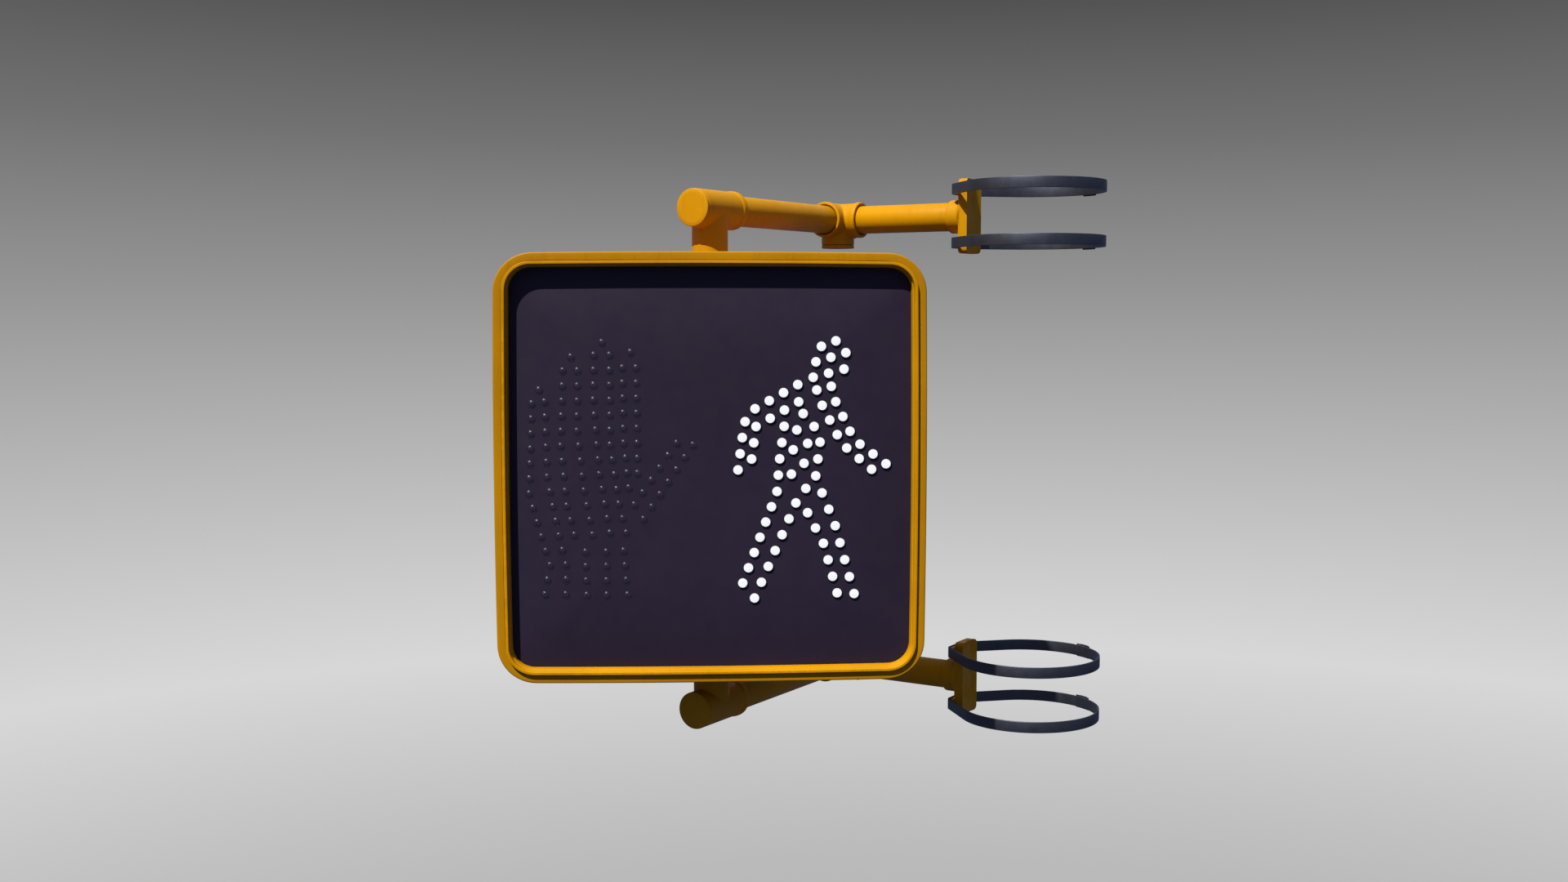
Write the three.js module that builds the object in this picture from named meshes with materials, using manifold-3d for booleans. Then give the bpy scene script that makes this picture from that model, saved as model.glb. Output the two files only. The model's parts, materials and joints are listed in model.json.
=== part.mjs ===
// Pedestrian signal head on its two-arm side-of-pole bracket.
// Millimetres, +Z up. The origin is on the pole's axis, midway between the two brackets.
// The signal's face looks towards -Y when the head is at rest.
import * as THREE from 'three';
import { mergeVertices } from 'three/addons/utils/BufferGeometryUtils.js';
import Module from 'manifold-3d';

const wasm = await Module();
wasm.setup();

// ---- driving dimensions ----
const GAP = 0.3;                 // clearance between neighbouring pieces
const POLE_R = 83.5;             // pole the bracket is banded to

const BRACKET_TURN = 35;         // degrees between the signal's face axis and the front arm
const ARM = 295;                 // tee axis to centre fitting axis
const REACH = 276;               // centre fitting axis to pole axis
const PIPE_Z = 290;              // height of each bracket's pipe axis above or below the middle
const PIPE_R = 17.7;
const PIPE_BORE = 14.5;
const FITTING_R = 21.6;          // cast tees and centre fittings
const SOCKET = 18;               // how far a pipe goes into a tee
const CROSS_SOCKET = 10;         // how far a pipe or plug goes into a centre fitting
const COLLAR_R = 22.8;           // low collar at a fitting's mouth
const COLLAR_W = 9;
const TEE_FRONT = 36;            // tee axis to its closed front end
const TEE_BACK = 47;             // tee axis to its mouth
const CROSS_ARM = 36;            // centre fitting axis to each of its ends
const CAP_T = 4;                 // thickness of the plugs' flat heads
const PLUG_NECK = 8.5;           // length of a plug inside its fitting
const RISER_R = 20.8;            // branch of the tee that holds the signal
const STUB_R = 21.1;             // short closed branch of a centre fitting
const KEY_HOLE_R = 2.5;
const KEY_PITCH = 26;            // between the two key holes of a rear plug

const PLATE_W = 38;
const PLATE_H = 92;
const PLATE_T = 10;
const HUB_R = 20.7;
const HUB_L = 18;
const BAND_H = 13.3;
const BAND_T = 2;
const BAND_Z = 33;               // pipe axis to each band's middle
const SEAT_T = 7.4;              // raised seat on the plate under each band
const SEAT_H = 12;
const BUCKLE_AT = 62;            // degrees round the pole from the plate's far side

const FACE_HALF = 236;           // half the width and height of the front flange
const FACE_CORNER = 43;
const FLANGE_Y = -115;           // front flange plane, measured from the riser axis
const DOOR_BACK = -95;
const LIP_Y = -118.5;            // front edge of the visor ring
const STEP_Y = -111;             // step inside the visor ring
const PANEL_Y = -103.5;          // front face of the message panel
const RING_OUT = 226.6;
const RING_LIP = 223.3;          // half the ring's opening at its front edge
const RING_FOOT = 219.8;         // half the ring's opening at the panel
const RING_CORNER = 31.5;
const PANEL_HALF = 226;
const PANEL_BACK = -101;
const LEDGE_HALF = 206;          // half the opening behind the panel

const CASE_HALF = 224;
const CASE_CORNER = 28;
const CASE_FRONT = -92.7;
const CASE_BACK = 110;
const WALL = 4;
const POST_R = 6;                // mounting posts inside the case's back
const POST_FRONT = 78;

const HINGE_X = -230;
const HINGE_Y = -85;
const HINGE_Z = 150;
const KNUCKLE_R = 5.5;
const PIN_R = 2.5;
const PIN_HOLE_R = 2.8;
const LATCH_X = 231.5;
const LATCH_Z = 150;
const CLIP_X = 120;
const CLIP_Z = 214.5;
const CLIP_HALF = 9;             // half a clip's width
const CLIP_SCREW_R = 1.5;
const CLIP_HOLE_R = 1.8;

const STEM_R = 13.5;             // threaded stem through the hub
const STEM_BORE = 10.5;
const HUB_RING_R = 23;
const HUB_TOP = 236;
const GASKET_T = 2;
const NUT_R = 24;
const NUT_H = 8;

const WALKER_DOT_R = 5.4;
const HAND_DOT_R = 4;

// ---- finishes ----
const FINISH = {
  yellow: [0xd79a08, 0.45, 0.0],
  casting: [0xcf9206, 0.5, 0.0],
  panel: [0x2a2230, 0.55, 0.0],
  rubber: [0x17181a, 0.85, 0.0],
  steel: [0x8f9499, 0.35, 0.9],
  zinc: [0xb4b7b5, 0.4, 0.85],
  band: [0x464a52, 0.4, 0.7],
  shell: [0x2d3035, 0.6, 0.0],
  board: [0x1d4a2c, 0.5, 0.0],
  block: [0xd8d2c0, 0.6, 0.0],
};

// ---- solids ----
function toSolid(geometry) {
  const g = geometry.clone();
  g.deleteAttribute('normal');
  g.deleteAttribute('uv');
  const merged = mergeVertices(g, 1e-4);
  const mesh = new wasm.Mesh({
    numProp: 3,
    vertProperties: new Float32Array(merged.attributes.position.array),
    triVerts: new Uint32Array(merged.index.array),
  });
  mesh.merge();
  return new wasm.Manifold(mesh);
}

function toGeometry(solid) {
  const mesh = solid.getMesh();
  const g = new THREE.BufferGeometry();
  g.setAttribute('position', new THREE.BufferAttribute(new Float32Array(mesh.vertProperties), 3));
  g.setIndex(new THREE.BufferAttribute(new Uint32Array(mesh.triVerts), 1));
  g.computeVertexNormals();
  return g;
}

function union(...geometries) {
  return toGeometry(geometries.map(toSolid).reduce((a, b) => a.add(b)));
}

function cut(geometry, ...tools) {
  return toGeometry(tools.map(toSolid).reduce((a, b) => a.subtract(b), toSolid(geometry)));
}

const AXES = {
  x: new THREE.Vector3(1, 0, 0),
  y: new THREE.Vector3(0, 1, 0),
  z: new THREE.Vector3(0, 0, 1),
};

function turnTo(geometry, axis) {
  const q = new THREE.Quaternion().setFromUnitVectors(AXES.y, AXES[axis]);
  return geometry.applyQuaternion(q);
}

const ordered = (a, b) => [Math.min(a, b), Math.max(a, b)];

// Cylinder between a and b along the axis, through the point [x, y, z] on that axis.
function rod(radius, a, b, axis, at = [0, 0, 0], segments = 20) {
  const g = new THREE.CylinderGeometry(radius, radius, Math.abs(b - a), segments);
  g.translate(0, (a + b) / 2, 0);
  return turnTo(g, axis).translate(...at);
}

// Ring between a and b along the axis.
function sleeve(outer, inner, a, b, axis, at = [0, 0, 0], segments = 20) {
  const [low, high] = ordered(a, b);
  const profile = [[inner, low], [outer, low], [outer, high], [inner, high], [inner, low]];
  const points = profile.map(([r, h]) => new THREE.Vector2(r, h));
  return turnTo(new THREE.LatheGeometry(points, segments), axis).translate(...at);
}

// Box between two values along each axis, given in either order.
function block(x0, x1, y0, y1, z0, z1) {
  const g = new THREE.BoxGeometry(Math.abs(x1 - x0), Math.abs(y1 - y0), Math.abs(z1 - z0));
  return g.translate((x0 + x1) / 2, (y0 + y1) / 2, (z0 + z1) / 2);
}

// Rounded square in X and Z, as one ring of points at depth y.
function squareRing(half, corner, y, steps) {
  const ring = [];
  const centre = half - corner;
  for (let quarter = 0; quarter < 4; quarter++) {
    for (let i = 0; i <= steps; i++) {
      const a = (quarter + i / steps) * Math.PI / 2;
      const cx = (quarter === 0 || quarter === 3) ? centre : -centre;
      const cz = quarter < 2 ? centre : -centre;
      ring.push([cx + corner * Math.cos(a), y, cz + corner * Math.sin(a)]);
    }
  }
  return ring;
}

// Closed solid through rounded squares given as [half, corner, y], in order of rising y.
function loft(stations, steps = 6) {
  const rings = stations.map(([half, corner, y]) => squareRing(half, corner, y, steps));
  const n = rings[0].length;
  const position = rings.flat(2);
  const index = [];
  for (let r = 0; r + 1 < rings.length; r++) {
    for (let i = 0; i < n; i++) {
      const a = r * n + i;
      const b = r * n + (i + 1) % n;
      index.push(a, a + n, b, b, a + n, b + n);
    }
  }
  const last = (rings.length - 1) * n;
  for (let i = 1; i + 1 < n; i++) {
    index.push(0, i, i + 1);
    index.push(last, last + i + 1, last + i);
  }
  const g = new THREE.BufferGeometry();
  g.setAttribute('position', new THREE.Float32BufferAttribute(position, 3));
  g.setIndex(index);
  return g;
}

function frameRing(outHalf, outCorner, inHalf, inCorner, y0, y1, steps = 6) {
  return cut(
    loft([[outHalf, outCorner, y0], [outHalf, outCorner, y1]], steps),
    loft([[inHalf, inCorner, y0 - 5], [inHalf, inCorner, y1 + 5]], steps),
  );
}

function addPart(group, name, geometry, finish) {
  const [color, roughness, metalness] = FINISH[finish];
  const material = new THREE.MeshStandardMaterial({ color, roughness, metalness });
  const mesh = new THREE.Mesh(geometry, material);
  mesh.name = name;
  group.add(mesh);
}

// ---- brackets: x runs from the centre fitting to the pole, y from the tee to the centre ----
const collar = (a, b, axis, at) => sleeve(COLLAR_R, FITTING_R - 2, a, b, axis, at);

function tee(side) {
  const at = [-REACH, -ARM, side * PIPE_Z];
  const riser = [-REACH, -ARM, 0];
  const foot = side * (HUB_TOP + GASKET_T + 2 * GAP);
  const stemEnd = side * (PIPE_Z - 24);
  const capSeat = -TEE_FRONT + CAP_T;
  const body = union(
    rod(FITTING_R, capSeat + GAP, TEE_BACK, 'y', at),
    rod(RISER_R, foot, side * PIPE_Z, 'z', riser),
    collar(TEE_BACK - COLLAR_W, TEE_BACK, 'y', at),
  );
  return cut(
    body,
    rod(PIPE_R + GAP, TEE_BACK - SOCKET, TEE_BACK + 5, 'y', at),
    rod(PIPE_BORE, capSeat, TEE_BACK, 'y', at),
    rod(PIPE_R + GAP, capSeat - 5, capSeat + PLUG_NECK + 0.5, 'y', at),
    rod(STEM_R + GAP, foot - side, stemEnd, 'z', riser),
    rod(STEM_BORE, stemEnd - side * 2, side * PIPE_Z, 'z', riser),
  );
}

function teeCap(side) {
  const at = [-REACH, -ARM, side * PIPE_Z];
  const back = -TEE_FRONT + CAP_T;
  return union(
    rod(FITTING_R, -TEE_FRONT, back, 'y', at),
    rod(PIPE_R, back - 1, back + PLUG_NECK, 'y', at),
  );
}

// The stub branch points towards the middle of the assembly.
const stubHeight = (side, length) => side * (PIPE_Z - length);

function centreFitting(side) {
  const at = [-REACH, 0, side * PIPE_Z];
  const stub = [-REACH, 0, 0];
  const middle = side * PIPE_Z;
  const seat = CROSS_ARM - CROSS_SOCKET;
  const plugSeat = CROSS_ARM - CAP_T;
  const neckEnd = stubHeight(side, plugSeat - PLUG_NECK - 0.5);
  const body = union(
    rod(FITTING_R, -CROSS_ARM, CROSS_ARM, 'y', at),
    rod(FITTING_R, 0, CROSS_ARM, 'x', at),
    rod(STUB_R, middle, stubHeight(side, plugSeat - GAP), 'z', stub),
    collar(-CROSS_ARM, -CROSS_ARM + COLLAR_W, 'y', at),
    collar(CROSS_ARM - COLLAR_W, CROSS_ARM, 'y', at),
    collar(CROSS_ARM - COLLAR_W, CROSS_ARM, 'x', at),
  );
  return cut(
    body,
    rod(PIPE_R + GAP, -CROSS_ARM - 5, -seat, 'y', at),
    rod(PIPE_R + GAP, seat, CROSS_ARM + 5, 'y', at),
    rod(PIPE_R + GAP, seat, CROSS_ARM + 5, 'x', at),
    rod(PIPE_BORE, -CROSS_ARM, CROSS_ARM, 'y', at),
    rod(PIPE_BORE, 0, CROSS_ARM, 'x', at),
    rod(PIPE_BORE, middle, neckEnd, 'z', stub),
    rod(PIPE_R - 1 + GAP, neckEnd, stubHeight(side, CROSS_ARM + 5), 'z', stub),
  );
}

function stubPlug(side) {
  const stub = [-REACH, 0, 0];
  const seat = CROSS_ARM - CAP_T;
  return union(
    rod(STUB_R, stubHeight(side, seat), stubHeight(side, CROSS_ARM), 'z', stub),
    rod(PIPE_R - 1, stubHeight(side, seat - PLUG_NECK), stubHeight(side, seat + 1), 'z', stub),
  );
}

function rearPlug(side) {
  const at = [-REACH, 0, side * PIPE_Z];
  const body = union(
    rod(PIPE_R, CROSS_ARM - CROSS_SOCKET + 2 * GAP, CROSS_ARM + 1, 'y', at),
    rod(FITTING_R, CROSS_ARM + GAP, CROSS_ARM + CAP_T, 'y', at),
  );
  const keyHole = (dx) => (
    rod(KEY_HOLE_R, CROSS_ARM + 1, CROSS_ARM + 6, 'y', [dx - REACH, 0, side * PIPE_Z], 12)
  );
  return cut(body, keyHole(-KEY_PITCH / 2), keyHole(KEY_PITCH / 2));
}

function frontArm(side) {
  const start = -ARM + TEE_BACK - SOCKET + GAP;
  const end = -CROSS_ARM + CROSS_SOCKET - GAP;
  return sleeve(PIPE_R, PIPE_BORE, start, end, 'y', [-REACH, 0, side * PIPE_Z]);
}

function poleArm(side) {
  const start = -REACH + CROSS_ARM - CROSS_SOCKET + GAP;
  const end = -(POLE_R + PLATE_T + 2);
  return sleeve(PIPE_R, PIPE_BORE, start, end, 'x', [0, 0, side * PIPE_Z]);
}

function polePlate(side) {
  const z0 = side * PIPE_Z;
  const face = -(POLE_R + PLATE_T);
  const hub = -(POLE_R + PLATE_T + HUB_L);
  const bar = block(face, -POLE_R + 4, -PLATE_W / 2, PLATE_W / 2, z0 - PLATE_H / 2, z0 + PLATE_H / 2);
  const seat = (z) => (
    block(face - SEAT_T, face + 1, 0.5 - PLATE_W / 2, PLATE_W / 2 - 0.5, z - SEAT_H / 2, z + SEAT_H / 2)
  );
  const body = union(
    bar,
    rod(HUB_R, hub, face + 1, 'x', [0, 0, z0]),
    seat(z0 - BAND_Z),
    seat(z0 + BAND_Z),
  );
  return cut(
    body,
    rod(POLE_R + GAP, z0 - PLATE_H, z0 + PLATE_H, 'z', [0, 0, 0], 96),
    rod(PIPE_R + GAP, hub - 5, face - 2 + GAP, 'x', [0, 0, z0]),
    rod(PIPE_BORE, hub, -POLE_R + 5, 'x', [0, 0, z0]),
  );
}

// Outline of a band: around the pole, and over the plate's seat.
function bandOutline(radius, grow) {
  const cx = -(POLE_R + PLATE_T + SEAT_T + GAP + grow);
  const cy = PLATE_W / 2 + GAP + grow * 0.8;
  const reach = Math.hypot(cx, cy);
  const start = Math.PI - Math.atan2(cy, -cx) - Math.acos(radius / reach);
  const steps = 36;
  const points = [];
  for (let i = 0; i <= steps; i++) {
    const a = -start + 2 * start * i / steps;
    points.push([radius * Math.cos(a), radius * Math.sin(a)]);
  }
  points.push([cx, cy], [cx, -cy]);
  return points;
}

function band(z) {
  const shape = new THREE.Shape(bandOutline(POLE_R + GAP + BAND_T, BAND_T)
    .map(([x, y]) => new THREE.Vector2(x, y)));
  shape.holes.push(new THREE.Path(bandOutline(POLE_R + GAP, 0)
    .map(([x, y]) => new THREE.Vector2(x, y))));
  const g = new THREE.ExtrudeGeometry(shape, { depth: BAND_H, bevelEnabled: false });
  return g.translate(0, 0, z - BAND_H / 2);
}

function buckle(z) {
  const inner = POLE_R + GAP + BAND_T + GAP;
  const half = BAND_H / 2;
  const body = union(
    block(inner + 0.6, inner + 4, -11, 11, z - half - 1.5, z + half + 1.5),
    block(inner + 3, inner + 6, -3, 3, z - half - 0.5, z + half + 0.5),
  );
  return body.rotateZ(THREE.MathUtils.degToRad(BUCKLE_AT));
}

function addBracket(parent, label, side) {
  const group = new THREE.Group();
  group.name = `${label}_bracket`;
  group.rotation.z = -THREE.MathUtils.degToRad(BRACKET_TURN);
  parent.add(group);
  addPart(group, `${label}_tee`, tee(side), 'casting');
  addPart(group, `${label}_tee_cap`, teeCap(side), 'casting');
  addPart(group, `${label}_front_arm`, frontArm(side), 'yellow');
  addPart(group, `${label}_centre_fitting`, centreFitting(side), 'casting');
  addPart(group, `${label}_stub_plug`, stubPlug(side), 'casting');
  addPart(group, `${label}_rear_plug`, rearPlug(side), 'casting');
  addPart(group, `${label}_pole_arm`, poleArm(side), 'yellow');
  addPart(group, `${label}_pole_plate`, polePlate(side), 'casting');
  for (const [place, dz] of [['outer', side * BAND_Z], ['inner', -side * BAND_Z]]) {
    addPart(group, `${label}_${place}_band`, band(side * PIPE_Z + dz), 'band');
    addPart(group, `${label}_${place}_buckle`, buckle(side * PIPE_Z + dz), 'band');
  }
  addPart(group, `${label}_stem`, stem(side), 'zinc');
  addPart(group, `${label}_locknut`, locknut(side), 'zinc');
  addPart(group, `${label}_hub_gasket`, hubGasket(side), 'rubber');
}

// ---- hub between a bracket's tee and the case ----
function stem(side) {
  const riser = [-REACH, -ARM, 0];
  return sleeve(STEM_R, STEM_BORE, side * (CASE_HALF - 22), side * (PIPE_Z - 24.5), 'z', riser);
}

function locknut(side) {
  const riser = [-REACH, -ARM, 0];
  const top = CASE_HALF - WALL - 3 - GAP;
  return cut(
    rod(NUT_R, side * top, side * (top - NUT_H), 'z', riser, 6),
    rod(STEM_R + GAP, side * (top + 2), side * (top - NUT_H - 2), 'z', riser),
  );
}

function hubGasket(side) {
  const riser = [-REACH, -ARM, 0];
  const low = HUB_TOP + GAP;
  return sleeve(RISER_R, STEM_R + GAP, side * low, side * (low + GASKET_T), 'z', riser);
}

// ---- signal head: x across, y front to back, z up, origin on the riser axis ----
function caseShell() {
  const outer = loft([
    [CASE_HALF, CASE_CORNER, CASE_FRONT], [CASE_HALF, CASE_CORNER, 40],
    [CASE_HALF - 4, CASE_CORNER + 4, 86], [CASE_HALF - 12, CASE_CORNER + 8, 103],
    [CASE_HALF - 24, CASE_CORNER, CASE_BACK],
  ]);
  const inner = loft([
    [CASE_HALF - WALL, CASE_CORNER - WALL, CASE_FRONT - 5], [CASE_HALF - WALL, CASE_CORNER - WALL, 40],
    [CASE_HALF - WALL - 4, CASE_CORNER, 84], [CASE_HALF - WALL - 14, CASE_CORNER + 4, 100],
    [CASE_HALF - WALL - 26, CASE_CORNER, CASE_BACK - WALL],
  ]);
  const additions = [];
  const holes = [];
  for (const side of [1, -1]) {
    additions.push(rod(30, side * (CASE_HALF - WALL - 3), side * (CASE_HALF - 1), 'z'));
    holes.push(rod(STEM_R + GAP, side * 200, side * 240, 'z'));
    for (const end of [1, -1]) {
      const z = side * HINGE_Z + end * 13.5;
      additions.push(rod(KNUCKLE_R, z - 6, z + 6, 'z', [HINGE_X, HINGE_Y, 0], 16));
      additions.push(block(HINGE_X, -CASE_HALF + 2, HINGE_Y - 4, HINGE_Y + KNUCKLE_R, z - 6, z + 6));
    }
    const latch = side * LATCH_Z;
    additions.push(block(CASE_HALF - 2, LATCH_X + 4.5, -84, -76, latch - 8, latch + 8));
    holes.push(rod(PIN_HOLE_R, -95, -70, 'y', [LATCH_X, 0, latch], 16));
    holes.push(rod(PIN_HOLE_R, side * HINGE_Z - 30, side * HINGE_Z + 30, 'z', [HINGE_X, HINGE_Y, 0], 16));
  }
  const posts = [[-150, 60], [-30, 60], [-150, -60], [-30, -60], [90, -150], [190, -150]];
  for (const [x, z] of posts) additions.push(rod(POST_R, POST_FRONT, CASE_BACK - 2, 'y', [x, 0, z], 10));
  const hollow = cut(outer, inner);
  return cut(union(hollow, ...additions), ...holes);
}

function hubRing(side) {
  return sleeve(HUB_RING_R, STEM_R + GAP, side * (CASE_HALF + GAP), side * HUB_TOP, 'z');
}

function powerSupply() {
  const back = POST_FRONT - GAP;
  const body = union(
    block(-162, -18, 46, back, -72, 72),
    block(-152, -28, 34, 47, -60, 60),
  );
  const grooves = [-40, -20, 0, 20, 40].map((z) => block(-140, -40, 30, 37, z - 3, z + 3));
  return cut(body, ...grooves);
}

function terminalBlock() {
  const body = block(82, 198, 52, POST_FRONT - GAP, -164, -136);
  const ways = 8;
  const pitch = 13.5;
  const slots = Array.from({ length: ways }, (_, i) => (
    block(88 + i * pitch, 97 + i * pitch, 46, 60, -159, -141)
  ));
  return cut(body, ...slots);
}

function doorFrame() {
  const rim = cut(
    loft([[FACE_HALF - 1.5, FACE_CORNER - 1.5, FLANGE_Y], [FACE_HALF, FACE_CORNER, FLANGE_Y + 1.5],
      [FACE_HALF, FACE_CORNER, DOOR_BACK]]),
    loft([[RING_OUT + GAP, RING_CORNER + GAP, FLANGE_Y - 5], [RING_OUT + GAP, RING_CORNER + GAP, -99]]),
    loft([[LEDGE_HALF, 20, -105], [LEDGE_HALF, 20, DOOR_BACK + 5]]),
  );
  const ears = [];
  const holes = [];
  for (const side of [1, -1]) {
    const z = side * HINGE_Z;
    ears.push(rod(KNUCKLE_R, z - 7, z + 7, 'z', [HINGE_X, HINGE_Y, 0], 16));
    ears.push(block(HINGE_X - KNUCKLE_R, HINGE_X + 4.5, DOOR_BACK - 2, HINGE_Y, z - 7, z + 7));
    holes.push(rod(PIN_HOLE_R, z - 20, z + 20, 'z', [HINGE_X, HINGE_Y, 0], 16));
    holes.push(rod(PIN_HOLE_R, DOOR_BACK - 9, DOOR_BACK + 2, 'y', [LATCH_X, 0, side * LATCH_Z], 16));
    for (const x of [-CLIP_X, CLIP_X]) {
      holes.push(rod(CLIP_HOLE_R, DOOR_BACK - 2.6, DOOR_BACK + 2, 'y', [x, 0, side * CLIP_Z], 12));
    }
  }
  return cut(union(rim, ...ears), ...holes);
}

function visorRing() {
  const inner = [
    [RING_LIP + 0.3, RING_CORNER - 2.5, LIP_Y - 5],
    [RING_LIP, RING_CORNER - 3.2, LIP_Y],
    [RING_LIP - 0.9, RING_CORNER - 4, STEP_Y],
    [RING_LIP - 2, RING_CORNER - 4.5, STEP_Y + 0.6],
    [RING_FOOT, RING_CORNER - 5, PANEL_Y - GAP],
    [RING_FOOT, RING_CORNER - 5, PANEL_Y + 5],
  ];
  return cut(
    loft([[RING_OUT - 0.8, RING_CORNER - 0.8, LIP_Y], [RING_OUT, RING_CORNER, LIP_Y + 0.8],
      [RING_OUT, RING_CORNER, PANEL_Y - GAP]]),
    loft(inner),
  );
}

// Points spaced evenly along a line through the given corners.
function alongLine(corners, pitch) {
  const path = new THREE.CurvePath();
  const points = corners.map(([x, y]) => new THREE.Vector2(x, y));
  for (let i = 0; i + 1 < points.length; i++) path.add(new THREE.LineCurve(points[i], points[i + 1]));
  const count = Math.max(1, Math.round(path.getLength() / pitch));
  const spaced = Array.from({ length: count + 1 }, (_, i) => path.getPointAt(i / count));
  return spaced.map((p) => [p.x, p.y]);
}

// Strokes of the two symbols on the face: x across and z up, through the lenses' centres.
const WALKER = [
  [[121, 134], [137, 140]], [[115, 117], [148, 127]], [[112, 100], [146, 109]], [[116, 86], [132, 90]],
  [[95, 92], [47, 65], [36, 50], [29, -2]], [[96, 73], [49, 46], [44, 10]],
  [[137, 73], [153, 40], [164, 26], [193, 4]], [[122, 69], [139, 36], [149, 22], [177, -2]],
  [[101, 60], [112, 48], [120, 31], [115, -9]], [[122, -28], [136, -62], [158, -141]],
  [[80, 46], [75, 10], [72, -27], [34, -128]],
  [[94, 42]], [[90, 20]], [[88, -7]], [[93, -39], [47, -145]],
  [[106, 27]], [[102, 5]], [[104, -23]], [[106, -50], [124, -85], [139, -140]],
];
const WALKER_PITCH = 18.6;       // between neighbouring lenses

const HAND = [
  [[-188, 86]], [[-153, 122]], [[-119, 138]], [[-88, 127]],
  [[-196, 71], [-200, -30], [-187, -76], [-178, -107], [-184, -140]],
  [[-182, 73], [-180, -12], [-168, -75], [-160, -110], [-161, -140]],
  [[-162, 107], [-165, 24], [-159, -42], [-151, -74]], [[-139, -93], [-138, -141]],
  [[-146, 107], [-147, 40], [-140, -25], [-131, -74]], [[-116, -93], [-116, -141]],
  [[-128, 124], [-129, 70], [-123, -7], [-112, -72]], [[-97, -92], [-93, -141]],
  [[-111, 124], [-111, 25], [-102, -40], [-94, -72]],
  [[-97, 110], [-96, 27], [-91, -22]], [[-82, 110], [-81, -6]],
  [[-38, 27], [-85, -41]], [[-20, 25], [-75, -57]],
];
const HAND_PITCH = 16.6;

function lensDots(lines, pitch, radius, sides) {
  const dots = [];
  for (const corners of lines) {
    const points = corners.length > 1 ? alongLine(corners, pitch) : corners;
    for (const [x, z] of points) {
      const cone = new THREE.ConeGeometry(radius, 3.4, sides).translate(0, 1.3, 0);
      dots.push(cone.rotateX(Math.PI).translate(x, PANEL_Y, z));
    }
  }
  return dots;
}

function messagePanel() {
  const plate = loft([[PANEL_HALF, RING_CORNER, PANEL_Y], [PANEL_HALF, RING_CORNER, PANEL_BACK]]);
  const walker = lensDots(WALKER, WALKER_PITCH, WALKER_DOT_R, 6);
  const dots = [...walker, ...lensDots(HAND, HAND_PITCH, HAND_DOT_R, 4)];
  return union(plate, ...dots);
}

function moduleShell() {
  const outer = loft([[203, 18, -100.7], [203, 18, -60], [196, 18, -56]]);
  const lip = loft([[209.5, 20, DOOR_BACK + GAP], [209.5, 20, -92]]);
  const hollow = loft([[200, 16, -105], [200, 16, -94.7]]);
  const deep = loft([[196, 14, -96], [196, 14, -62], [190, 14, -59]]);
  return cut(union(outer, lip), hollow, deep);
}

function moduleClip(x, z) {
  const side = Math.sign(z);
  const edge = side * 218.8;
  return cut(
    union(
      block(x - CLIP_HALF, x + CLIP_HALF, DOOR_BACK + GAP, -90, side * 209.9, edge),
      block(x - CLIP_HALF, x + CLIP_HALF, -91.7, -89.4, side * 205, edge),
    ),
    rod(CLIP_HOLE_R, -97, -85, 'y', [x, 0, z], 12),
  );
}

function clipScrew(x, z) {
  return union(
    rod(CLIP_SCREW_R, DOOR_BACK - 2.3, -88.8, 'y', [x, 0, z], 12),
    rod(2 * CLIP_SCREW_R, -89.1, -86.6, 'y', [x, 0, z], 16),
  );
}

function hingePin(side) {
  const z = side * HINGE_Z;
  return union(
    rod(PIN_R, z - 22, z + 20, 'z', [HINGE_X, HINGE_Y, 0], 16),
    rod(4, z + 19.8, z + 22.6, 'z', [HINGE_X, HINGE_Y, 0], 16),
  );
}

function wingScrew(side) {
  const z = side * LATCH_Z;
  const at = [LATCH_X, 0, z];
  return union(
    rod(PIN_R, DOOR_BACK - 7, -70, 'y', at, 16),
    rod(5.5, -75.7, -66, 'y', at, 20),
    block(LATCH_X - 1.4, LATCH_X + 1.4, -73, -58, z - 14, z + 14),
  );
}

function addHead(parent) {
  const group = new THREE.Group();
  group.name = 'signal_head';
  const turn = THREE.MathUtils.degToRad(BRACKET_TURN);
  group.position.set(
    -REACH * Math.cos(turn) - ARM * Math.sin(turn),
    REACH * Math.sin(turn) - ARM * Math.cos(turn),
    0,
  );
  parent.add(group);
  addPart(group, 'case', caseShell(), 'yellow');
  addPart(group, 'upper_hub_ring', hubRing(1), 'casting');
  addPart(group, 'lower_hub_ring', hubRing(-1), 'casting');
  addPart(group, 'case_gasket', frameRing(CASE_HALF, CASE_CORNER, 220, 24, -94.7, -93), 'rubber');
  addPart(group, 'power_supply', powerSupply(), 'steel');
  addPart(group, 'terminal_block', terminalBlock(), 'block');
  addPart(group, 'door_frame', doorFrame(), 'yellow');
  addPart(group, 'visor_ring', visorRing(), 'yellow');
  addPart(group, 'message_panel', messagePanel(), 'panel');
  addPart(group, 'panel_gasket', frameRing(226, RING_CORNER, 212, 22, -100.7, -99.3), 'rubber');
  addPart(group, 'module_shell', moduleShell(), 'shell');
  addPart(group, 'led_board', loft([[199.4, 15.5, -96.8], [199.4, 15.5, -95]]), 'board');
  for (const [label, side] of [['upper', 1], ['lower', -1]]) {
    addPart(group, `${label}_hinge_pin`, hingePin(side), 'steel');
    addPart(group, `${label}_wing_screw`, wingScrew(side), 'steel');
    for (const [place, x] of [['left', -CLIP_X], ['right', CLIP_X]]) {
      addPart(group, `${label}_${place}_clip`, moduleClip(x, side * CLIP_Z), 'zinc');
      addPart(group, `${label}_${place}_clip_screw`, clipScrew(x, side * CLIP_Z), 'steel');
    }
  }
}

const root = new THREE.Group();
root.name = 'pedestrian_signal_head';
addBracket(root, 'upper', 1);
addBracket(root, 'lower', -1);
addHead(root);

export default root;
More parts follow.
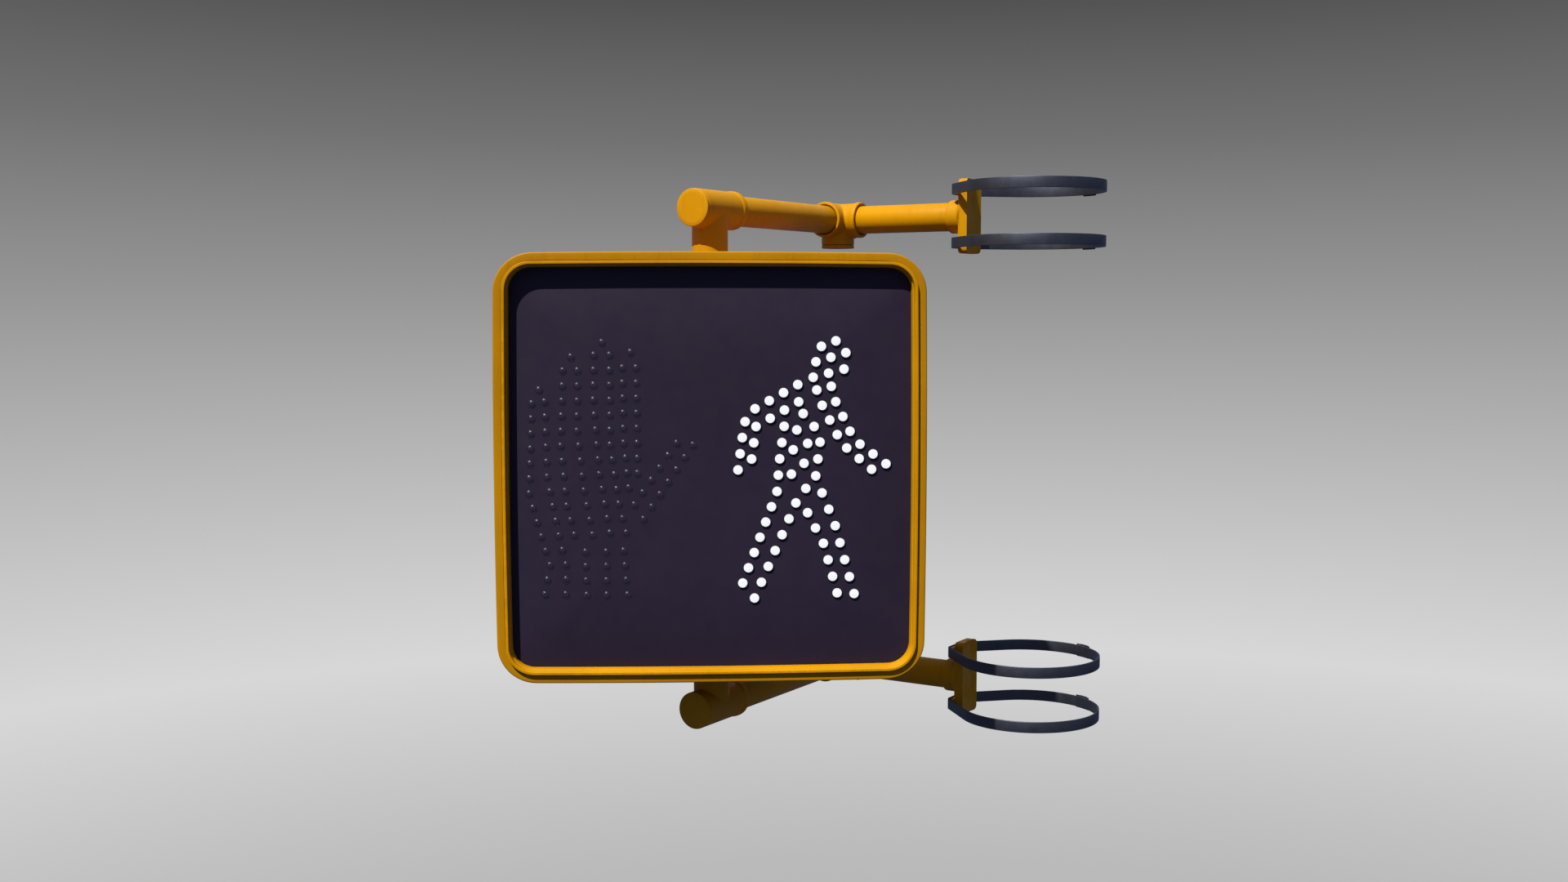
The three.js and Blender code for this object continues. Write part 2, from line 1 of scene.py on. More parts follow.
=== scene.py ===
# Pedestrian signal head on its two-arm pole bracket: looks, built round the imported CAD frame.
# Shapes are written in millimetres in the head's or the bracket's own axes, and placed in metres.
import json
import math

import bpy
import bmesh
from mathutils import Matrix, Vector


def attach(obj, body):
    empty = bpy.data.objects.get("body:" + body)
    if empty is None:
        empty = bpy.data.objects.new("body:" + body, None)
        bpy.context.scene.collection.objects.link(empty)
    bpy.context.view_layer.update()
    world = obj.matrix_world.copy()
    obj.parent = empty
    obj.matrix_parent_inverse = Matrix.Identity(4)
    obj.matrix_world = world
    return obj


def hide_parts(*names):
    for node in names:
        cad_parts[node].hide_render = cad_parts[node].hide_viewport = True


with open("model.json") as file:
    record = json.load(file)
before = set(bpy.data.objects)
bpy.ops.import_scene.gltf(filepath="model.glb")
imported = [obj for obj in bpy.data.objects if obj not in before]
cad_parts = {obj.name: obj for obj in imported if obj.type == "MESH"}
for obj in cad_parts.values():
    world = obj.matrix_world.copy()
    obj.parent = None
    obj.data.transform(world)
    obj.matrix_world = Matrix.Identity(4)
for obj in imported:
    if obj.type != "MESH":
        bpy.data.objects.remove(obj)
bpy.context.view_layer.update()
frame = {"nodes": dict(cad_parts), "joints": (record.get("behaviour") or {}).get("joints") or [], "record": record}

# ---------------------------------------------------------------- places, read from the frame
MM = 0.001
joints = {joint["name"]: joint for joint in frame["joints"]}
mounts = {mount["name"]: mount for mount in frame["record"]["mounts"]}

riser = Vector(joints["head_swivel"]["pos_m"])
hinge = Vector(joints["door_hinge"]["pos_m"]) - riser
port = Vector(mounts["upper_rear_port"]["pos_m"])
arm_dir = Vector(mounts["upper_rear_port"]["axis"])      # from the front tee towards the back
pole_dir = Vector((arm_dir.y, -arm_dir.x, 0))            # from the centre fitting to the pole

# The head's axes: x across, y front to back, z up, from the riser's axis.
HEAD = Matrix.Translation(riser) @ Matrix.Scale(MM, 4)
# The bracket's axes: x from the centre fitting to the pole, y from the tee to the back, z up.
BRACKET = Matrix.Rotation(math.atan2(pole_dir.y, pole_dir.x), 4, "Z") @ Matrix.Scale(MM, 4)


def span(node, axis, place=HEAD):
    """Lowest and highest coordinate of a CAD node along one of the head's or the bracket's axes."""
    back = place.inverted()
    reach = [(back @ vertex.co)[axis] for vertex in frame["nodes"][node].data.vertices]
    return min(reach), max(reach)


X, Y, Z = 0, 1, 2
GAP = 0.3

FACE_HALF = span("door_frame", Z)[1]
FLANGE_Y = span("door_frame", Y)[0]
FACE_CORNER = 43
DOOR_BACK = span("led_board", Y)[1]
LIP_Y, RING_BACK = span("visor_ring", Y)
RING_OUT = span("visor_ring", Z)[1]
RING_CORNER = 31.5
RING_LIP = RING_OUT - 3.3
RING_FOOT = RING_OUT - 6.8
PILLOW = 1.3                     # how far the middle of each side of the face swells out
PANEL_Y = RING_BACK + GAP
PANEL_BACK = span("message_panel", Y)[1]
PANEL_HALF = span("message_panel", Z)[1]
CASE_HALF = span("case_gasket", Z)[1]
CASE_CORNER = 28
CASE_FRONT, CASE_BACK = span("case", Y)
WALL = 4
DOOR_HOLLOW = 206                # half the width of the door's opening for the module
SEAT_BACK = -99                  # back of the step that the face rests on
KNUCKLE_R, PIN_BORE_R = 5.5, 2.8
HINGE_X, HINGE_Y = hinge.x / MM, hinge.y / MM
HINGE_Z = sum(span("upper_hinge_pin", Z)) / 2
LATCH_X = sum(span("upper_wing_screw", X)) / 2
LATCH_Z = sum(span("upper_wing_screw", Z)) / 2
CLIP_X = sum(span("upper_right_clip", X)) / 2
CLIP_Z = sum(span("upper_right_clip_screw", Z)) / 2
SUPPLY_BACK = span("power_supply", Y)[1]
HUB_TOP = span("upper_hub_ring", Z)[1]

PIPE_Z = port.z / MM
REACH = -port.dot(pole_dir) / MM
ARM = -riser.dot(arm_dir) / MM
PIPE_R = span("upper_front_arm", Z, BRACKET)[1] - PIPE_Z
PIPE_BORE = 14.5
FITTING_R = span("upper_tee_cap", Z, BRACKET)[1] - PIPE_Z
COLLAR_R = span("upper_centre_fitting", Z, BRACKET)[1] - PIPE_Z
CAP_FRONT = span("upper_tee_cap", Y, BRACKET)[0]
TEE_FRONT, TEE_MOUTH = span("upper_tee", Y, BRACKET)
TEE_FOOT = span("upper_tee", Z, BRACKET)[0]
RISER_R = 20.8
STEM_R, STEM_BORE = 13.5, 10.5
STUB_R = 21.1
STUB_END = span("upper_centre_fitting", Z, BRACKET)[0]
PLUG_END = span("upper_stub_plug", Z, BRACKET)[0]
CROSS = span("upper_centre_fitting", Y, BRACKET)[1]
PLATE_FRONT = span("upper_pole_plate", X, BRACKET)[0]
PLATE_HALF_W = span("upper_pole_plate", Y, BRACKET)[1]
PLATE_Z = span("upper_pole_plate", Z, BRACKET)
BAND_T = 2
POLE_R = span("upper_outer_band", X, BRACKET)[1] - GAP - BAND_T
HUB_L = 18
HUB_R = 20.7
PLATE_T = -PLATE_FRONT - HUB_L - POLE_R
BAND_Z = span("upper_outer_band", Z, BRACKET)
BAND_H = BAND_Z[1] - BAND_Z[0]
SEAT_T, SEAT_H = 7.4, 12
BAND_RISE = sum(BAND_Z) / 2 - PIPE_Z
CENTRE = (-REACH, 0, PIPE_Z)     # where the centre fitting's axes cross
STEM_AXIS = (-REACH, -ARM, 0)
ENDS = (("upper", 1), ("lower", -1))
PAIR = (1, -1)


def about(middle, half):
    """Two values this far on either side of a middle one."""
    return middle - half, middle + half


# ---------------------------------------------------------------- meshes


def new_object(name, data):
    obj = bpy.data.objects.new(name, data)
    bpy.context.scene.collection.objects.link(obj)
    return obj


def cleaned(mesh, gap, sliver, outwards=False):
    """The mesh with close points merged and slivers dissolved, and its faces turned outwards if asked."""
    bm = bmesh.new()
    bm.from_mesh(mesh)
    bmesh.ops.remove_doubles(bm, verts=bm.verts, dist=gap)
    bmesh.ops.dissolve_degenerate(bm, edges=bm.edges, dist=sliver)
    if outwards:
        loose = [edge for edge in bm.edges if not edge.link_faces]
        bmesh.ops.delete(bm, geom=loose, context="EDGES")
        bmesh.ops.recalc_face_normals(bm, faces=bm.faces)
    bm.to_mesh(mesh)
    bm.free()
    return mesh


def to_mesh(vertices, faces):
    """Mesh of these points, with doubled points merged and its faces turned outwards."""
    mesh = bpy.data.meshes.new("solid")
    mesh.from_pydata([tuple(v) for v in vertices], [], faces)
    return cleaned(mesh, 1e-3, 1e-4, outwards=True)


def skin(loops, closed=False):
    """Solid through loops of points that all have the same length. An open row of loops is capped."""
    count = len(loops[0])
    vertices = [point for loop in loops for point in loop]
    faces = []
    for row in range(len(loops) if closed else len(loops) - 1):
        here = row * count
        there = (row + 1) % len(loops) * count
        for i in range(count):
            j = (i + 1) % count
            faces.append((here + i, here + j, there + j, there + i))
    if not closed:
        faces.append(tuple(range(count)))
        faces.append(tuple(range(len(vertices) - count, len(vertices))))
    return to_mesh(vertices, faces)


def rounded(corners, radius, steps=3):
    """Closed outline with its corners turned into arcs. A corner's third number is its own radius."""
    outline = []
    for i, corner in enumerate(corners):
        here = Vector(corner[:2])
        size = corner[2] if len(corner) > 2 else radius
        before = Vector(corners[i - 1][:2]) - here
        after = Vector(corners[(i + 1) % len(corners)][:2]) - here
        slope = math.tan(before.angle(after) / 2)
        reach = min(size / slope, 0.49 * before.length, 0.49 * after.length)
        if reach < 1e-4:
            outline.append(tuple(here))
            continue
        before.normalize()
        after.normalize()
        centre = here + (before + after).normalized() * reach * math.hypot(1, slope)
        start = here + before * reach - centre
        end = here + after * reach - centre
        first = math.atan2(start.y, start.x)
        sweep = (math.atan2(end.y, end.x) - first + math.pi) % math.tau - math.pi
        for k in range(steps + 1):
            a = first + sweep * k / steps
            x = centre.x + start.length * math.cos(a)
            outline.append((x, centre.y + start.length * math.sin(a)))
    return outline


AXIS_TURNS = {
    X: Matrix(((0, 0, 1), (0, 1, 0), (-1, 0, 0))),
    Y: Matrix(((1, 0, 0), (0, 0, 1), (0, -1, 0))),
    Z: Matrix.Identity(3),
}


def on_axis(axis, at, points):
    """Points given about Z, turned to run along an axis through a point."""
    return [AXIS_TURNS[axis] @ Vector(point) + Vector(at) for point in points]


def lathe(profile, axis, at, segments=64):
    """Solid turned about an axis: profile points are (radius, distance along the axis)."""
    loops = []
    for i in range(segments):
        a = math.tau * i / segments
        loops.append(on_axis(axis, at, [(r * math.cos(a), r * math.sin(a), h) for r, h in profile]))
    return skin(loops, closed=True)


def turned(corners, fillet, axis, at, segments=64, steps=3):
    """Solid turned about an axis from (radius, distance along it) corners, each rounded off."""
    return lathe(rounded(corners, fillet, steps), axis, at, segments)


def rod(radius, low, high, axis, at, fillet=0.0, segments=64):
    """Plain round bar with its ends' edges rounded."""
    low, high = sorted((low, high))
    return turned([(0, low, 0), (radius, low), (radius, high), (0, high, 0)], fillet, axis, at, segments)


def tube(outer, inner, low, high, axis, at, fillet=0.4, segments=64):
    """Rod with a round bore right through it."""
    low, high = sorted((low, high))
    return turned([(inner, low), (outer, low), (outer, high), (inner, high)], fillet, axis, at, segments)


def prism(outline, low, high, axis, at=(0, 0, 0)):
    """Solid with a flat outline in the two axes after its own: Y, Z for X; Z, X for Y; X, Y for Z."""
    loops = []
    for level in (low, high):
        points = [(u, v, level) for u, v in outline]
        loops.append([Vector(point[2 - axis:] + point[:2 - axis]) + Vector(at) for point in points])
    return skin(loops)


def box_outline(x, y):
    return [(x[0], y[0]), (x[1], y[0]), (x[1], y[1]), (x[0], y[1])]


def block(x, y, z, bevel=0.0, segments=2):
    """Box between two values on each axis, with its edges bevelled if a width is given."""
    box = prism(box_outline(x, y), z[0], z[1], Z)
    return bevelled(box, bevel, segments) if bevel else box


def with_modifiers(mesh, *modifiers):
    """The mesh with modifiers applied, each given as a type and its settings."""
    obj = new_object("work", mesh)
    for kind, settings in modifiers:
        modifier = obj.modifiers.new(kind, kind)
        for key, value in settings.items():
            setattr(modifier, key, value)
    bpy.context.view_layer.update()
    shaped = obj.evaluated_get(bpy.context.evaluated_depsgraph_get())
    result = bpy.data.meshes.new_from_object(shaped)
    bpy.data.objects.remove(obj)
    return result


def boolean(operation, mesh, tools):
    """The mesh joined with, cut by or kept inside each tool in turn."""
    for tool in tools:
        other = new_object("tool", tool)
        settings = {"operation": operation, "object": other, "solver": "EXACT"}
        mesh = with_modifiers(mesh, ("BOOLEAN", settings))
        bpy.data.objects.remove(other)
    return mesh


def merged(mesh):
    """The mesh with the all but touching points merged that cutting can leave."""
    return cleaned(mesh, 2e-3, 1e-3)


def union(mesh, *tools):
    return boolean("UNION", mesh, tools)


def cut(mesh, *tools):
    return boolean("DIFFERENCE", mesh, tools)


BEVEL_ANGLE = math.radians(40)    # edges flatter than this stay as they are


def bevelled(mesh, width, segments=2):
    settings = {"width": width, "segments": segments, "limit_method": "ANGLE",
                "angle_limit": BEVEL_ANGLE, "use_clamp_overlap": True}
    return with_modifiers(mesh, ("BEVEL", settings))


def fused(mesh, voxel, smoothing):
    """The mesh's parts melted into one skin, with the inner corners filled as a casting's are."""
    return with_modifiers(
        mesh,
        ("REMESH", {"mode": "VOXEL", "voxel_size": voxel, "use_smooth_shade": True}),
        ("SMOOTH", {"factor": 0.5, "iterations": smoothing}),
    )


def together(*meshes):
    """Several separate solids in one mesh."""
    bm = bmesh.new()
    for mesh in meshes:
        bm.from_mesh(mesh)
    result = bpy.data.meshes.new("group")
    bm.to_mesh(result)
    bm.free()
    return result


def moved(mesh, matrix):
    """A copy in another place, with its faces still outwards if it is mirrored."""
    result = mesh.copy()
    result.transform(matrix)
    if matrix.determinant() < 0:
        result.flip_normals()
    return result


# ---- rounded squares, seen from the front

CORNER_STEPS, SIDE_STEPS = 12, 14


def square_stations():
    """Places round a rounded square: the quarter, and a turn round its corner or a share of its side."""
    stations = []
    for quarter in range(4):
        stations += [(quarter, math.pi / 2 * i / CORNER_STEPS, None) for i in range(CORNER_STEPS + 1)]
        stations += [(quarter, 0, 1 - 2 * i / SIDE_STEPS) for i in range(1, SIDE_STEPS)]
    return stations


def on_square(station, half, corner, pillow):
    """Point at a station of a rounded square whose sides swell out by the pillow."""
    quarter, turn, share = station
    centre = half - corner
    if share is None:
        u, v = centre + corner * math.cos(turn), centre + corner * math.sin(turn)
    else:
        u, v = centre * share, half + pillow * (1 - share * share)
    for _ in range(quarter):
        u, v = -v, u
    return u, v


def square_sweep(profile, pillow=0.0):
    """Profile points (half, corner, y) carried round a rounded square; an outline closes on itself."""
    loops = []
    for station in square_stations():
        loop = []
        for half, corner, y in profile:
            x, z = on_square(station, half, corner, pillow)
            loop.append((x, y, z))
        loops.append(loop)
    return skin(loops, closed=True)


def ring_profile(outline, half, corner):
    """Outline points (half, y) with corners parallel to those of one rounded square."""
    return [(h, max(1.0, corner - (half - h)), y) for h, y in outline]


def square_plate(half, corner, front, back, fillet):
    outline = rounded([(half * 0.5, front, 0), (half, front), (half, back), (half * 0.5, back, 0)], fillet)
    profile = [(0.0, 0.0, front)] + ring_profile(outline, half, corner) + [(0.0, 0.0, back)]
    return square_sweep(profile)


# ---------------------------------------------------------------- materials


def set_range(node, low, high, to_low, to_high):
    """Set what a Map Range node maps from and to."""
    for socket, value in (("From Min", low), ("From Max", high), ("To Min", to_low), ("To Max", to_high)):
        node.inputs[socket].default_value = value


class Recipe:
    """One material's node tree, with short calls for what the finishes share. Sizes are millimetres."""

    def __init__(self, name, **sockets):
        self.material = bpy.data.materials.new(name)
        self.material.use_nodes = True
        self.tree = self.material.node_tree
        self.shader = self.tree.nodes["Principled BSDF"]
        self.place = self.node("ShaderNodeTexCoord").outputs["Object"]
        for socket, value in sockets.items():
            self.shader.inputs[socket.replace("_", " ")].default_value = value

    def node(self, kind, **settings):
        node = self.tree.nodes.new(kind)
        for key, value in settings.items():
            setattr(node, key, value)
        return node

    def join(self, source, target):
        self.tree.links.new(source, target)

    def texture(self, kind, size, stretch=(1, 1, 1)):
        """Texture with features of about this size, drawn out along X, Y and Z."""
        mapping = self.node("ShaderNodeMapping")
        mapping.inputs["Scale"].default_value = [1 / (size * MM * s) for s in stretch]
        texture = self.node(kind)
        texture.inputs["Scale"].default_value = 1
        self.join(self.place, mapping.inputs["Vector"])
        self.join(mapping.outputs["Vector"], texture.inputs["Vector"])
        return texture

    def noise(self, size, stretch=(1, 1, 1), detail=3):
        texture = self.texture("ShaderNodeTexNoise", size, stretch)
        texture.inputs["Detail"].default_value = detail
        return texture.outputs["Fac"]

    def cells(self, size):
        """Distance to the nearest of many scattered points."""
        return self.texture("ShaderNodeTexVoronoi", size).outputs["Distance"]

    def spread(self, source, low, high, to_low=0.0, to_high=1.0):
        """The source's stretch from low to high, mapped on to another and held at its ends."""
        node = self.node("ShaderNodeMapRange")
        set_range(node, low, high, to_low, to_high)
        self.join(source, node.inputs["Value"])
        return node.outputs["Result"]

    def blotches(self, size, low=0.3, high=0.7, to_low=0.0, to_high=1.0, **settings):
        """Noise spread over a range of values."""
        return self.spread(self.noise(size, **settings), low, high, to_low, to_high)

    def times(self, a, b):
        node = self.node("ShaderNodeMath", operation="MULTIPLY")
        self.join(a, node.inputs[0])
        self.join(b, node.inputs[1])
        return node.outputs["Value"]

    def mix(self, share, a, b):
        """Colour a turning to colour b; either is a colour or another mix."""
        node = self.node("ShaderNodeMix", data_type="RGBA")
        self.join(share, node.inputs[0])
        for socket, value in ((node.inputs[6], a), (node.inputs[7], b)):
            if isinstance(value, bpy.types.NodeSocket):
                self.join(value, socket)
            else:
                socket.default_value = (*value, 1)
        return node.outputs[2]

    def exposed_edges(self):
        return self.spread(self.node("ShaderNodeNewGeometry").outputs["Pointiness"], 0.515, 0.57)

    def colour(self, source):
        self.join(source, self.shader.inputs["Base Color"])

    def roughness(self, size, low, high, detail=3):
        """Roughness that goes from low to high in patches of about this size."""
        self.join(self.blotches(size, 0.3, 0.7, low, high, detail=detail), self.shader.inputs["Roughness"])

    def relief(self, height, depth):
        """Bump of this depth in millimetres, on top of any relief already there."""
        node = self.node("ShaderNodeBump")
        node.inputs["Distance"].default_value = depth * MM
        self.join(height, node.inputs["Height"])
        normal = self.shader.inputs["Normal"]
        if normal.links:
            self.join(normal.links[0].from_socket, node.inputs["Normal"])
        self.join(node.outputs["Normal"], normal)


def tone(colour, gain):
    return tuple(min(1.0, channel * gain) for channel in colour)


def painted(name, colour, roughness, grain, depth, pits=0.0):
    """Weathered gloss paint: patches, dust washed down in streaks, specks, and thin paint on the edges."""
    recipe = Recipe(name, Specular_IOR_Level=0.1)
    patches = recipe.blotches(85, 0.35, 0.65, detail=2)
    base = recipe.mix(patches, tone(colour, 0.92), tone(colour, 1.05))
    streaks = recipe.blotches(5, 0.56, 0.78, 0, 0.22, stretch=(1, 1, 16), detail=4)
    base = recipe.mix(streaks, base, tone(colour, 0.45))
    specks = recipe.blotches(1.6, 0.73, 0.8, 0, 0.55, detail=1)
    base = recipe.mix(specks, base, tone(colour, 0.35))
    chips = recipe.times(recipe.exposed_edges(), recipe.blotches(9, 0.45, 0.62, 0, 0.55))
    recipe.colour(recipe.mix(chips, base, tone(colour, 1.25)))
    recipe.roughness(22, roughness - 0.06, roughness + 0.1)
    recipe.relief(recipe.noise(grain, detail=2), depth)
    if pits:
        recipe.relief(recipe.blotches(1.1, 0.3, 0.5, detail=2), pits)
    return recipe.material


def moulded(name, colour, roughness, grain, depth, fleck=0.85):
    """Moulded plastic or rubber with a fine spark-eroded grain and slight mottling."""
    recipe = Recipe(name, Specular_IOR_Level=0.4)
    mottle = recipe.blotches(30, detail=3)
    base = recipe.mix(mottle, tone(colour, fleck), tone(colour, 2 - fleck))
    dust = recipe.blotches(3, 0.6, 0.8, 0, 0.12, detail=5)
    recipe.colour(recipe.mix(dust, base, (0.16, 0.145, 0.13)))
    recipe.roughness(14, roughness - 0.05, roughness + 0.08)
    recipe.relief(recipe.noise(grain, detail=2), depth)
    return recipe.material


def metal(name, colour, roughness, stretch, tarnish, patchy=1.0):
    """Brushed or plated metal: fine lines along one axis, with darker tarnished patches."""
    recipe = Recipe(name, Metallic=1.0)
    lines = recipe.noise(0.5, stretch=stretch, detail=3)
    base = recipe.mix(recipe.spread(lines, 0.3, 0.7), tone(colour, 0.88), tone(colour, 1.06))
    dull = recipe.blotches(16, 0.5, 0.7, 0, 0.6 * patchy, detail=5)
    base = recipe.mix(dull, base, tarnish)
    worn = recipe.exposed_edges()
    recipe.colour(recipe.mix(worn, base, tone(colour, 1.35)))
    low, high = roughness - 0.08 * patchy, roughness + 0.14 * patchy
    recipe.roughness(11, low, high, detail=4)
    recipe.relief(lines, 0.02)
    return recipe.material


def zinc_plate(name):
    """Bright zinc: crystalline spangle with a faint yellow and blue passivation."""
    recipe = Recipe(name, Metallic=1.0)
    base = recipe.mix(recipe.spread(recipe.cells(2.4), 0.1, 0.8), (0.6, 0.6, 0.58), (0.78, 0.79, 0.8))
    tint = recipe.blotches(9, 0.45, 0.7, 0, 0.5, detail=3)
    recipe.colour(recipe.mix(tint, base, (0.68, 0.6, 0.42)))
    recipe.roughness(6, 0.26, 0.44)
    recipe.relief(recipe.noise(0.8), 0.015)
    return recipe.material


def message_face(name):
    """Dark polycarbonate face with a fine matt grain."""
    recipe = Recipe(name, Specular_IOR_Level=0.17)
    bloom = recipe.blotches(120, detail=2)
    base = recipe.mix(bloom, FACE_TINT, tone(FACE_TINT, 1.12))
    dust = recipe.blotches(4, 0.58, 0.8, 0, 0.02, detail=5)
    recipe.colour(recipe.mix(dust, base, (0.1, 0.09, 0.1)))
    recipe.roughness(18, 0.5, 0.62)
    recipe.relief(recipe.noise(0.9, detail=2), 0.012)
    return recipe.material


def dark_lens(name):
    """Unlit lens moulded into the face: the same tint with a glossier skin."""
    recipe = Recipe(name, Specular_IOR_Level=0.35, Coat_Weight=0.2, Coat_Roughness=0.3)
    recipe.colour(recipe.mix(recipe.blotches(2), tone(FACE_TINT, 0.85), tone(FACE_TINT, 1.15)))
    recipe.roughness(3, 0.3, 0.42)
    recipe.relief(recipe.noise(0.7), 0.01)
    return recipe.material


def lit_lens(name):
    """Lit lens: white light with the faint scatter of its diffuser."""
    recipe = Recipe(name, Roughness=0.35, Specular_IOR_Level=0.3, Emission_Strength=LAMP_STRENGTH)
    recipe.colour(recipe.mix(recipe.blotches(3), (0.12, 0.12, 0.13), (0.16, 0.16, 0.17)))
    glow = recipe.mix(recipe.blotches(1.5), (0.94, 0.96, 1.0), (1.0, 1.0, 1.0))
    recipe.join(glow, recipe.shader.inputs["Emission Color"])
    return recipe.material


def circuit_board(name):
    """Green solder mask over copper tracks."""
    recipe = Recipe(name, Roughness=0.35, Specular_IOR_Level=0.5)
    tracks = recipe.blotches(3.5, 0.5, 0.53, stretch=(6, 1, 1), detail=0)
    base = recipe.mix(tracks, (0.01, 0.075, 0.03), (0.02, 0.14, 0.05))
    pads = recipe.spread(recipe.cells(9), 0.12, 0.14)
    recipe.colour(recipe.mix(pads, (0.62, 0.55, 0.36), base))
    recipe.relief(tracks, 0.03)
    return recipe.material


YELLOW = (0.46, 0.2, 0.0)
FACE_TINT = (0.0165, 0.0105, 0.022)
LAMP_STRENGTH = 0.8
MATERIALS = {
    "arm_paint": painted("arm_paint", YELLOW, 0.4, 1.6, 0.015),
    "head_paint": painted("head_paint", tone(YELLOW, 0.82), 0.42, 1.4, 0.015),
    "casting_paint": painted("casting_paint", YELLOW, 0.46, 1.2, 0.02, pits=0.02),
    "band_steel": metal(
        "band_steel", (0.092, 0.097, 0.11), 0.52, (12, 12, 1), (0.055, 0.058, 0.068), patchy=0.35),
    "rubber": moulded("rubber", (0.014, 0.014, 0.015), 0.7, 0.8, 0.02),
    "zinc": zinc_plate("zinc"),
    "steel": metal("steel", (0.52, 0.53, 0.55), 0.32, (1, 1, 12), (0.3, 0.27, 0.23)),
    "supply_case": metal("supply_case", (0.48, 0.49, 0.5), 0.42, (20, 1, 1), (0.36, 0.36, 0.37)),
    "panel": message_face("message_face"),
    "lamp": lit_lens("lit_lens"),
    "lamp_off": dark_lens("dark_lens"),
    "sleeve": moulded("lens_sleeve", (0.006, 0.006, 0.008), 0.6, 0.6, 0.01),
    "shell": moulded("shell", (0.016, 0.017, 0.02), 0.5, 0.9, 0.03),
    "board": circuit_board("circuit_board"),
    "block": moulded("block", (0.46, 0.43, 0.35), 0.4, 0.9, 0.02, fleck=0.96),
}


SHARP_ANGLE = math.radians(32)


def piece(name, mesh, place, body, slot, *nodes, material=None):
    """A finished piece in its place, riding on its body and standing for its CAD nodes."""
    mesh = moved(mesh, place)
    mesh.materials.clear()
    mesh.materials.append(MATERIALS[material or slot])
    mesh.polygons.foreach_set("material_index", [0] * len(mesh.polygons))
    mesh.shade_smooth()
    mesh.set_sharp_from_angle(angle=SHARP_ANGLE)
    obj = new_object(name, mesh)
    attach(obj, body)
    if nodes:
        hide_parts(*nodes)


def both_ends(name, mesh, place, body, slot):
    """The upper piece, and its mirror image below, standing for the two CAD nodes of that name."""
    for label, side in ENDS:
        node = f"{label}_{name}"
        flip = Matrix.Diagonal((1, 1, side, 1))
        piece(f"{node}_fine", moved(mesh, flip), place, body.format(label), slot, node)


# ---------------------------------------------------------------- door: frame, visor ring and face


def ear(knuckle_front):
    """Flat outline, in X and Y, of a hinge ear that ends in a round knuckle behind the door."""
    outline = [(HINGE_X - KNUCKLE_R, knuckle_front), (HINGE_X - KNUCKLE_R, HINGE_Y)]
    for i in range(1, 12):
        a = math.pi * (1 - i / 12)
        outline.append((HINGE_X + KNUCKLE_R * math.cos(a), HINGE_Y + KNUCKLE_R * math.sin(a)))
    outline += [(HINGE_X + KNUCKLE_R, HINGE_Y), (HINGE_X + KNUCKLE_R - 1, knuckle_front)]
    return outline


def door_frame():
    """Frame grooved behind, with a step for the face, two hinge ears and holes for the wing screws."""
    seat = RING_OUT + GAP
    outline = rounded([
        (seat, FLANGE_Y, 0.4), (FACE_HALF, FLANGE_Y, 1.6), (FACE_HALF, DOOR_BACK, 1.2),
        (FACE_HALF - 5, DOOR_BACK, 0.8), (FACE_HALF - 5.6, DOOR_BACK - 1.6, 0.6),
        (FACE_HALF - 11.4, DOOR_BACK - 1.6, 0.6), (FACE_HALF - 12, DOOR_BACK, 0.8),
        (DOOR_HOLLOW, DOOR_BACK, 1), (DOOR_HOLLOW, SEAT_BACK, 0.5), (seat, SEAT_BACK, 0.5),
    ], 1, steps=4)
    frame_mesh = square_sweep(ring_profile(outline, FACE_HALF, FACE_CORNER), PILLOW)
    ears, holes = [], []
    for side in PAIR:
        z = side * HINGE_Z
        ears.append(bevelled(prism(ear(DOOR_BACK - 3), *about(z, 7), Z), 0.9, 3))
        holes.append(rod(PIN_BORE_R, *about(z, 20), Z, (HINGE_X, HINGE_Y, 0)))
        latch_at = (LATCH_X, 0, side * LATCH_Z)
        holes.append(rod(PIN_BORE_R, DOOR_BACK - 9, DOOR_BACK + 2, Y, latch_at))
    return cut(union(frame_mesh, together(*ears)), together(*holes))


def visor_ring():
    """Ring round the face, stepped in at the door's flange and creased round the inside of its lip."""
    neck, crease = RING_OUT - 0.3, -112.8
    outline = rounded([
        (neck, LIP_Y, 0.6), (neck, FLANGE_Y + 2, 0.3), (RING_OUT, FLANGE_Y + 2.8, 0.3),
        (RING_OUT, RING_BACK, 0.5), (RING_FOOT, RING_BACK, 0.3), (RING_LIP - 2.5, crease + 0.9, 0.3),
        (RING_LIP - 0.5, crease, 0.2), (RING_LIP - 1.5, crease - 0.9, 0.3), (RING_LIP - 0.2, LIP_Y, 0.6),
    ], 0.5)
    return square_sweep(ring_profile(outline, RING_OUT, RING_CORNER), PILLOW)


